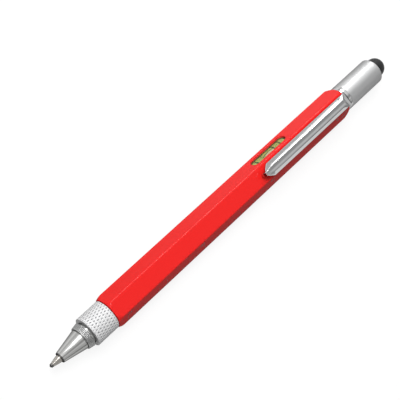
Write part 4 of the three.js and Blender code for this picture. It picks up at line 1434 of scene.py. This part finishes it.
class PEN_OT_cap(Operator):
    """Turn the pull-off cap and mould its rubber stylus tip"""

    bl_idname = "pen.cap"
    bl_label = "Cap and stylus tip"

    def execute(self, context):
        low, high = CAP
        dome_low, dome_high = DOME
        tube = [
            (low + 0.15, CAP_BORE), (low, CAP_BORE + 0.15), (low, CAP_RADIUS - 0.1), (low + 0.1, CAP_RADIUS),
            *quarter(high - CAP_RIM, CAP_RADIUS - CAP_RIM, CAP_RIM, 10),
            (high, 3.65), (high - 0.1, CAP_MOUTH), (dome_low - 0.05, CAP_MOUTH), (dome_low - 0.05, CAP_BORE),
        ]
        turned_piece("cap_tube", tube, "satin", "cap", ("cap_shell",), 0.04, 160)
        dome_high -= 0.002
        start = dome_high - DOME_RADIUS
        dome = [
            (dome_low + POST_DEPTH, 0.0), (dome_low + POST_DEPTH, POST_ROOM), (dome_low, POST_ROOM),
            (dome_low, SKIRT), (start - 0.3, SKIRT),
            *quarter(start, 0.0, DOME_RADIUS, 24)[:-1], (dome_high, 0.0),
        ]
        piece("stylus_dome", mesh_from(lathe(dome, 128)), "rubber", "cap", ("stylus_tip",), 50)
        return {"FINISHED"}


# Pieces whose solids are right as they are

CARRIED = {
    "refill_tube": "refill_metal",
    "refill_ink": "refill_ink",
    "refill_plug": "white_plastic",
    "refill_carrier": "white_plastic",
    "twist_tube": "brass",
    "tube_clip": "spring_steel",
    "nose_bush": "brass",
    "guide_sleeve": "white_plastic",
    "bit_magnet": "magnet",
    "cap_friction_ring": "seal",
    "vial_holder": "white_plastic",
    "vial_plug": "white_plastic",
    "stylus_post": "spring_steel",
}


class PEN_OT_inside(Operator):
    """Finish the inner pieces that keep their solids"""

    bl_idname = "pen.inside"
    bl_label = "Inner pieces"

    def execute(self, context):
        for node, finish in CARRIED.items():
            solid = frame["nodes"][node]
            if not solid.material_slots:
                raise RuntimeError(f"{node} has no material slot")
            for slot in solid.material_slots:
                slot.material = finish_of(finish)
        return {"FINISHED"}


# Studio, in metres

FLOOR_RADIUS, FLOOR_DROP = 3.0, 0.00002
LAMP_AIM = (0, 0, 0.005)
# The way that the two long lamps over the level's side are laid.
LAMP_ALONG = (0.293, 0.1, -0.14)
# The camera's lens in millimetres on a 36 mm sensor, its axes, and its place from the ball's end and axis.
SENSOR, LENS = 36, 89.58
CAMERA_RIGHT = Vector((0.67143459, -0.61619506, 0.41167857))
CAMERA_DOWN = Vector((-0.6062463, -0.77621786, -0.17306432))
CAMERA_AHEAD = Vector((0.42619364, -0.13337724, -0.89474549))
CAMERA_SPOT = (BALL_END - 0.062647, 0.047880, AXIS_UP + 0.276406)
# How bright the room looks in a direction, by the angle from straight up towards the level's side.
ROOM = (
    (-180, 0.6), (-92, 0.46), (-87, 0.42), (-83, 0.3), (-73, 0.3), (-66, 0.56), (-50, 0.48), (-36, 0.76),
    (-24, 0.34), (-10, 0.42), (-3, 0.68), (15, 0.94), (45, 0.9), (62, 0.66), (76, 0.58), (95, 0.8),
    (115, 0.58), (180, 0.6),
)


def lamp(name, spot, size, power, along=(1, 0, 0)):
    """A soft rectangular lamp that faces the pen, with its long side laid along a direction."""
    data = bpy.data.lights.new(name, "AREA")
    data.shape = "RECTANGLE"
    data.size, data.size_y = size
    data.energy = power
    made = linked(name, data)
    back = (Vector(spot) - Vector(LAMP_AIM)).normalized()
    side = Vector(along)
    side = (side - back * side.dot(back)).normalized()
    turn = Matrix((side, back.cross(side), back)).transposed().to_4x4()
    turn.translation = spot
    made.matrix_world = turn
    made.visible_camera = False
    return made


def studio_surround():
    """A soft grey room to look at, and an even light."""
    world = bpy.data.worlds.new("studio")
    bpy.context.scene.world = world
    world.use_nodes = True
    desk = ShadeDesk(world.node_tree)
    light = world.node_tree.nodes["Background"]
    desk.feed(light.inputs["Color"], (1, 1, 1, 1))
    desk.feed(light.inputs["Strength"], 0.25)
    _, across, up = desk.parts(desk.node("ShaderNodeTexCoord").outputs["Generated"])
    lean = desk.spread(desk.calc("ARCTAN2", across, up), 0, 1, -math.pi, math.pi)
    ramp = desk.node("ShaderNodeValToRGB", Fac=lean)
    stops = ramp.color_ramp.elements
    while len(stops) < len(ROOM):
        stops.new(0.5)
    for stop, (degrees, level) in zip(stops, ROOM):
        stop.position = (degrees + 180) / 360
        stop.color = (level, level, level, 1)
    room = desk.node("ShaderNodeBackground", Color=ramp.outputs["Color"])
    mix = desk.node("ShaderNodeMixShader", Fac=desk.seen_rays())
    desk.feed(mix.inputs[1], light.outputs[0])
    desk.feed(mix.inputs[2], room.outputs[0])
    desk.feed(world.node_tree.nodes["World Output"].inputs["Surface"], mix.outputs[0])


def studio_camera():
    """The camera at the photograph's place and angle."""
    camera = bpy.data.cameras.new("camera")
    camera.sensor_width = SENSOR
    camera.lens = LENS
    camera.clip_start = 0.01
    camera.clip_end = 20
    eye = linked("camera", camera)
    turn = Matrix((CAMERA_RIGHT, -CAMERA_DOWN, -CAMERA_AHEAD)).transposed().to_4x4()
    turn.translation = CAMERA_SPOT
    eye.matrix_world = turn
    bpy.context.scene.camera = eye


class PEN_OT_stage(Operator):
    """Set up the pale floor, the lamps, the surround and the camera"""

    bl_idname = "pen.stage"
    bl_label = "Studio"

    def execute(self, context):
        build = bmesh.new()
        bmesh.ops.create_circle(build, cap_ends=True, radius=FLOOR_RADIUS, segments=96)
        mesh = plain_mesh(build, "floor")
        mesh.transform(Matrix.Translation((0, 0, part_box("barrel")[0].z - FLOOR_DROP)))
        floor = linked("floor", mesh)
        mesh.materials.append(floor_finish())
        lamp("key_box", (0.09, 0.24, 0.285), (0.62, 0.17), 0.64, LAMP_ALONG)
        tube = lamp("key_tube", (0.089, 0.238, 0.282), (0.55, 0.022), 0.5, LAMP_ALONG)
        tube.visible_diffuse = False
        soft = lamp("soft_box", (-0.05, 0.39, 0.92), (0.5, 0.5), 6.4)
        soft.visible_glossy = False
        studio_surround()
        studio_camera()
        context.scene.view_settings.view_transform = "Standard"
        return {"FINISHED"}


# Add-on

OPERATORS = (
    PEN_OT_stage,
    PEN_OT_barrel,
    PEN_OT_scales,
    PEN_OT_nose,
    PEN_OT_refill,
    PEN_OT_level,
    PEN_OT_clip,
    PEN_OT_holder,
    PEN_OT_cap,
    PEN_OT_inside,
)
GROUPS = {"pen_print": PenPrint, "pen_knurl": PenKnurl, "pen_finish": PenFinish}


class PEN_PT_panel(Panel):
    """Lists the sizes, colours and pieces of the pen"""

    bl_label = "Multifunction pen"
    bl_idname = "PEN_PT_panel"
    bl_space_type = "VIEW_3D"
    bl_region_type = "UI"
    bl_category = "Pen"

    def draw(self, context):
        layout = self.layout
        for name, group in GROUPS.items():
            box = layout.box()
            for key in group.__annotations__:
                box.prop(getattr(context.scene, name), key)
        for operator in OPERATORS:
            layout.operator(operator.bl_idname)


def register():
    for group in GROUPS.values():
        bpy.utils.register_class(group)
    for name, group in GROUPS.items():
        setattr(bpy.types.Scene, name, PointerProperty(type=group))
    for operator in OPERATORS:
        bpy.utils.register_class(operator)
    bpy.utils.register_class(PEN_PT_panel)


def unregister():
    bpy.utils.unregister_class(PEN_PT_panel)
    for operator in reversed(OPERATORS):
        bpy.utils.unregister_class(operator)
    for name, group in GROUPS.items():
        delattr(bpy.types.Scene, name)
        bpy.utils.unregister_class(group)


def main():
    register()
    for operator in OPERATORS:
        group, name = operator.bl_idname.split(".")
        getattr(getattr(bpy.ops, group), name)()


if __name__ == "__main__":
    main()
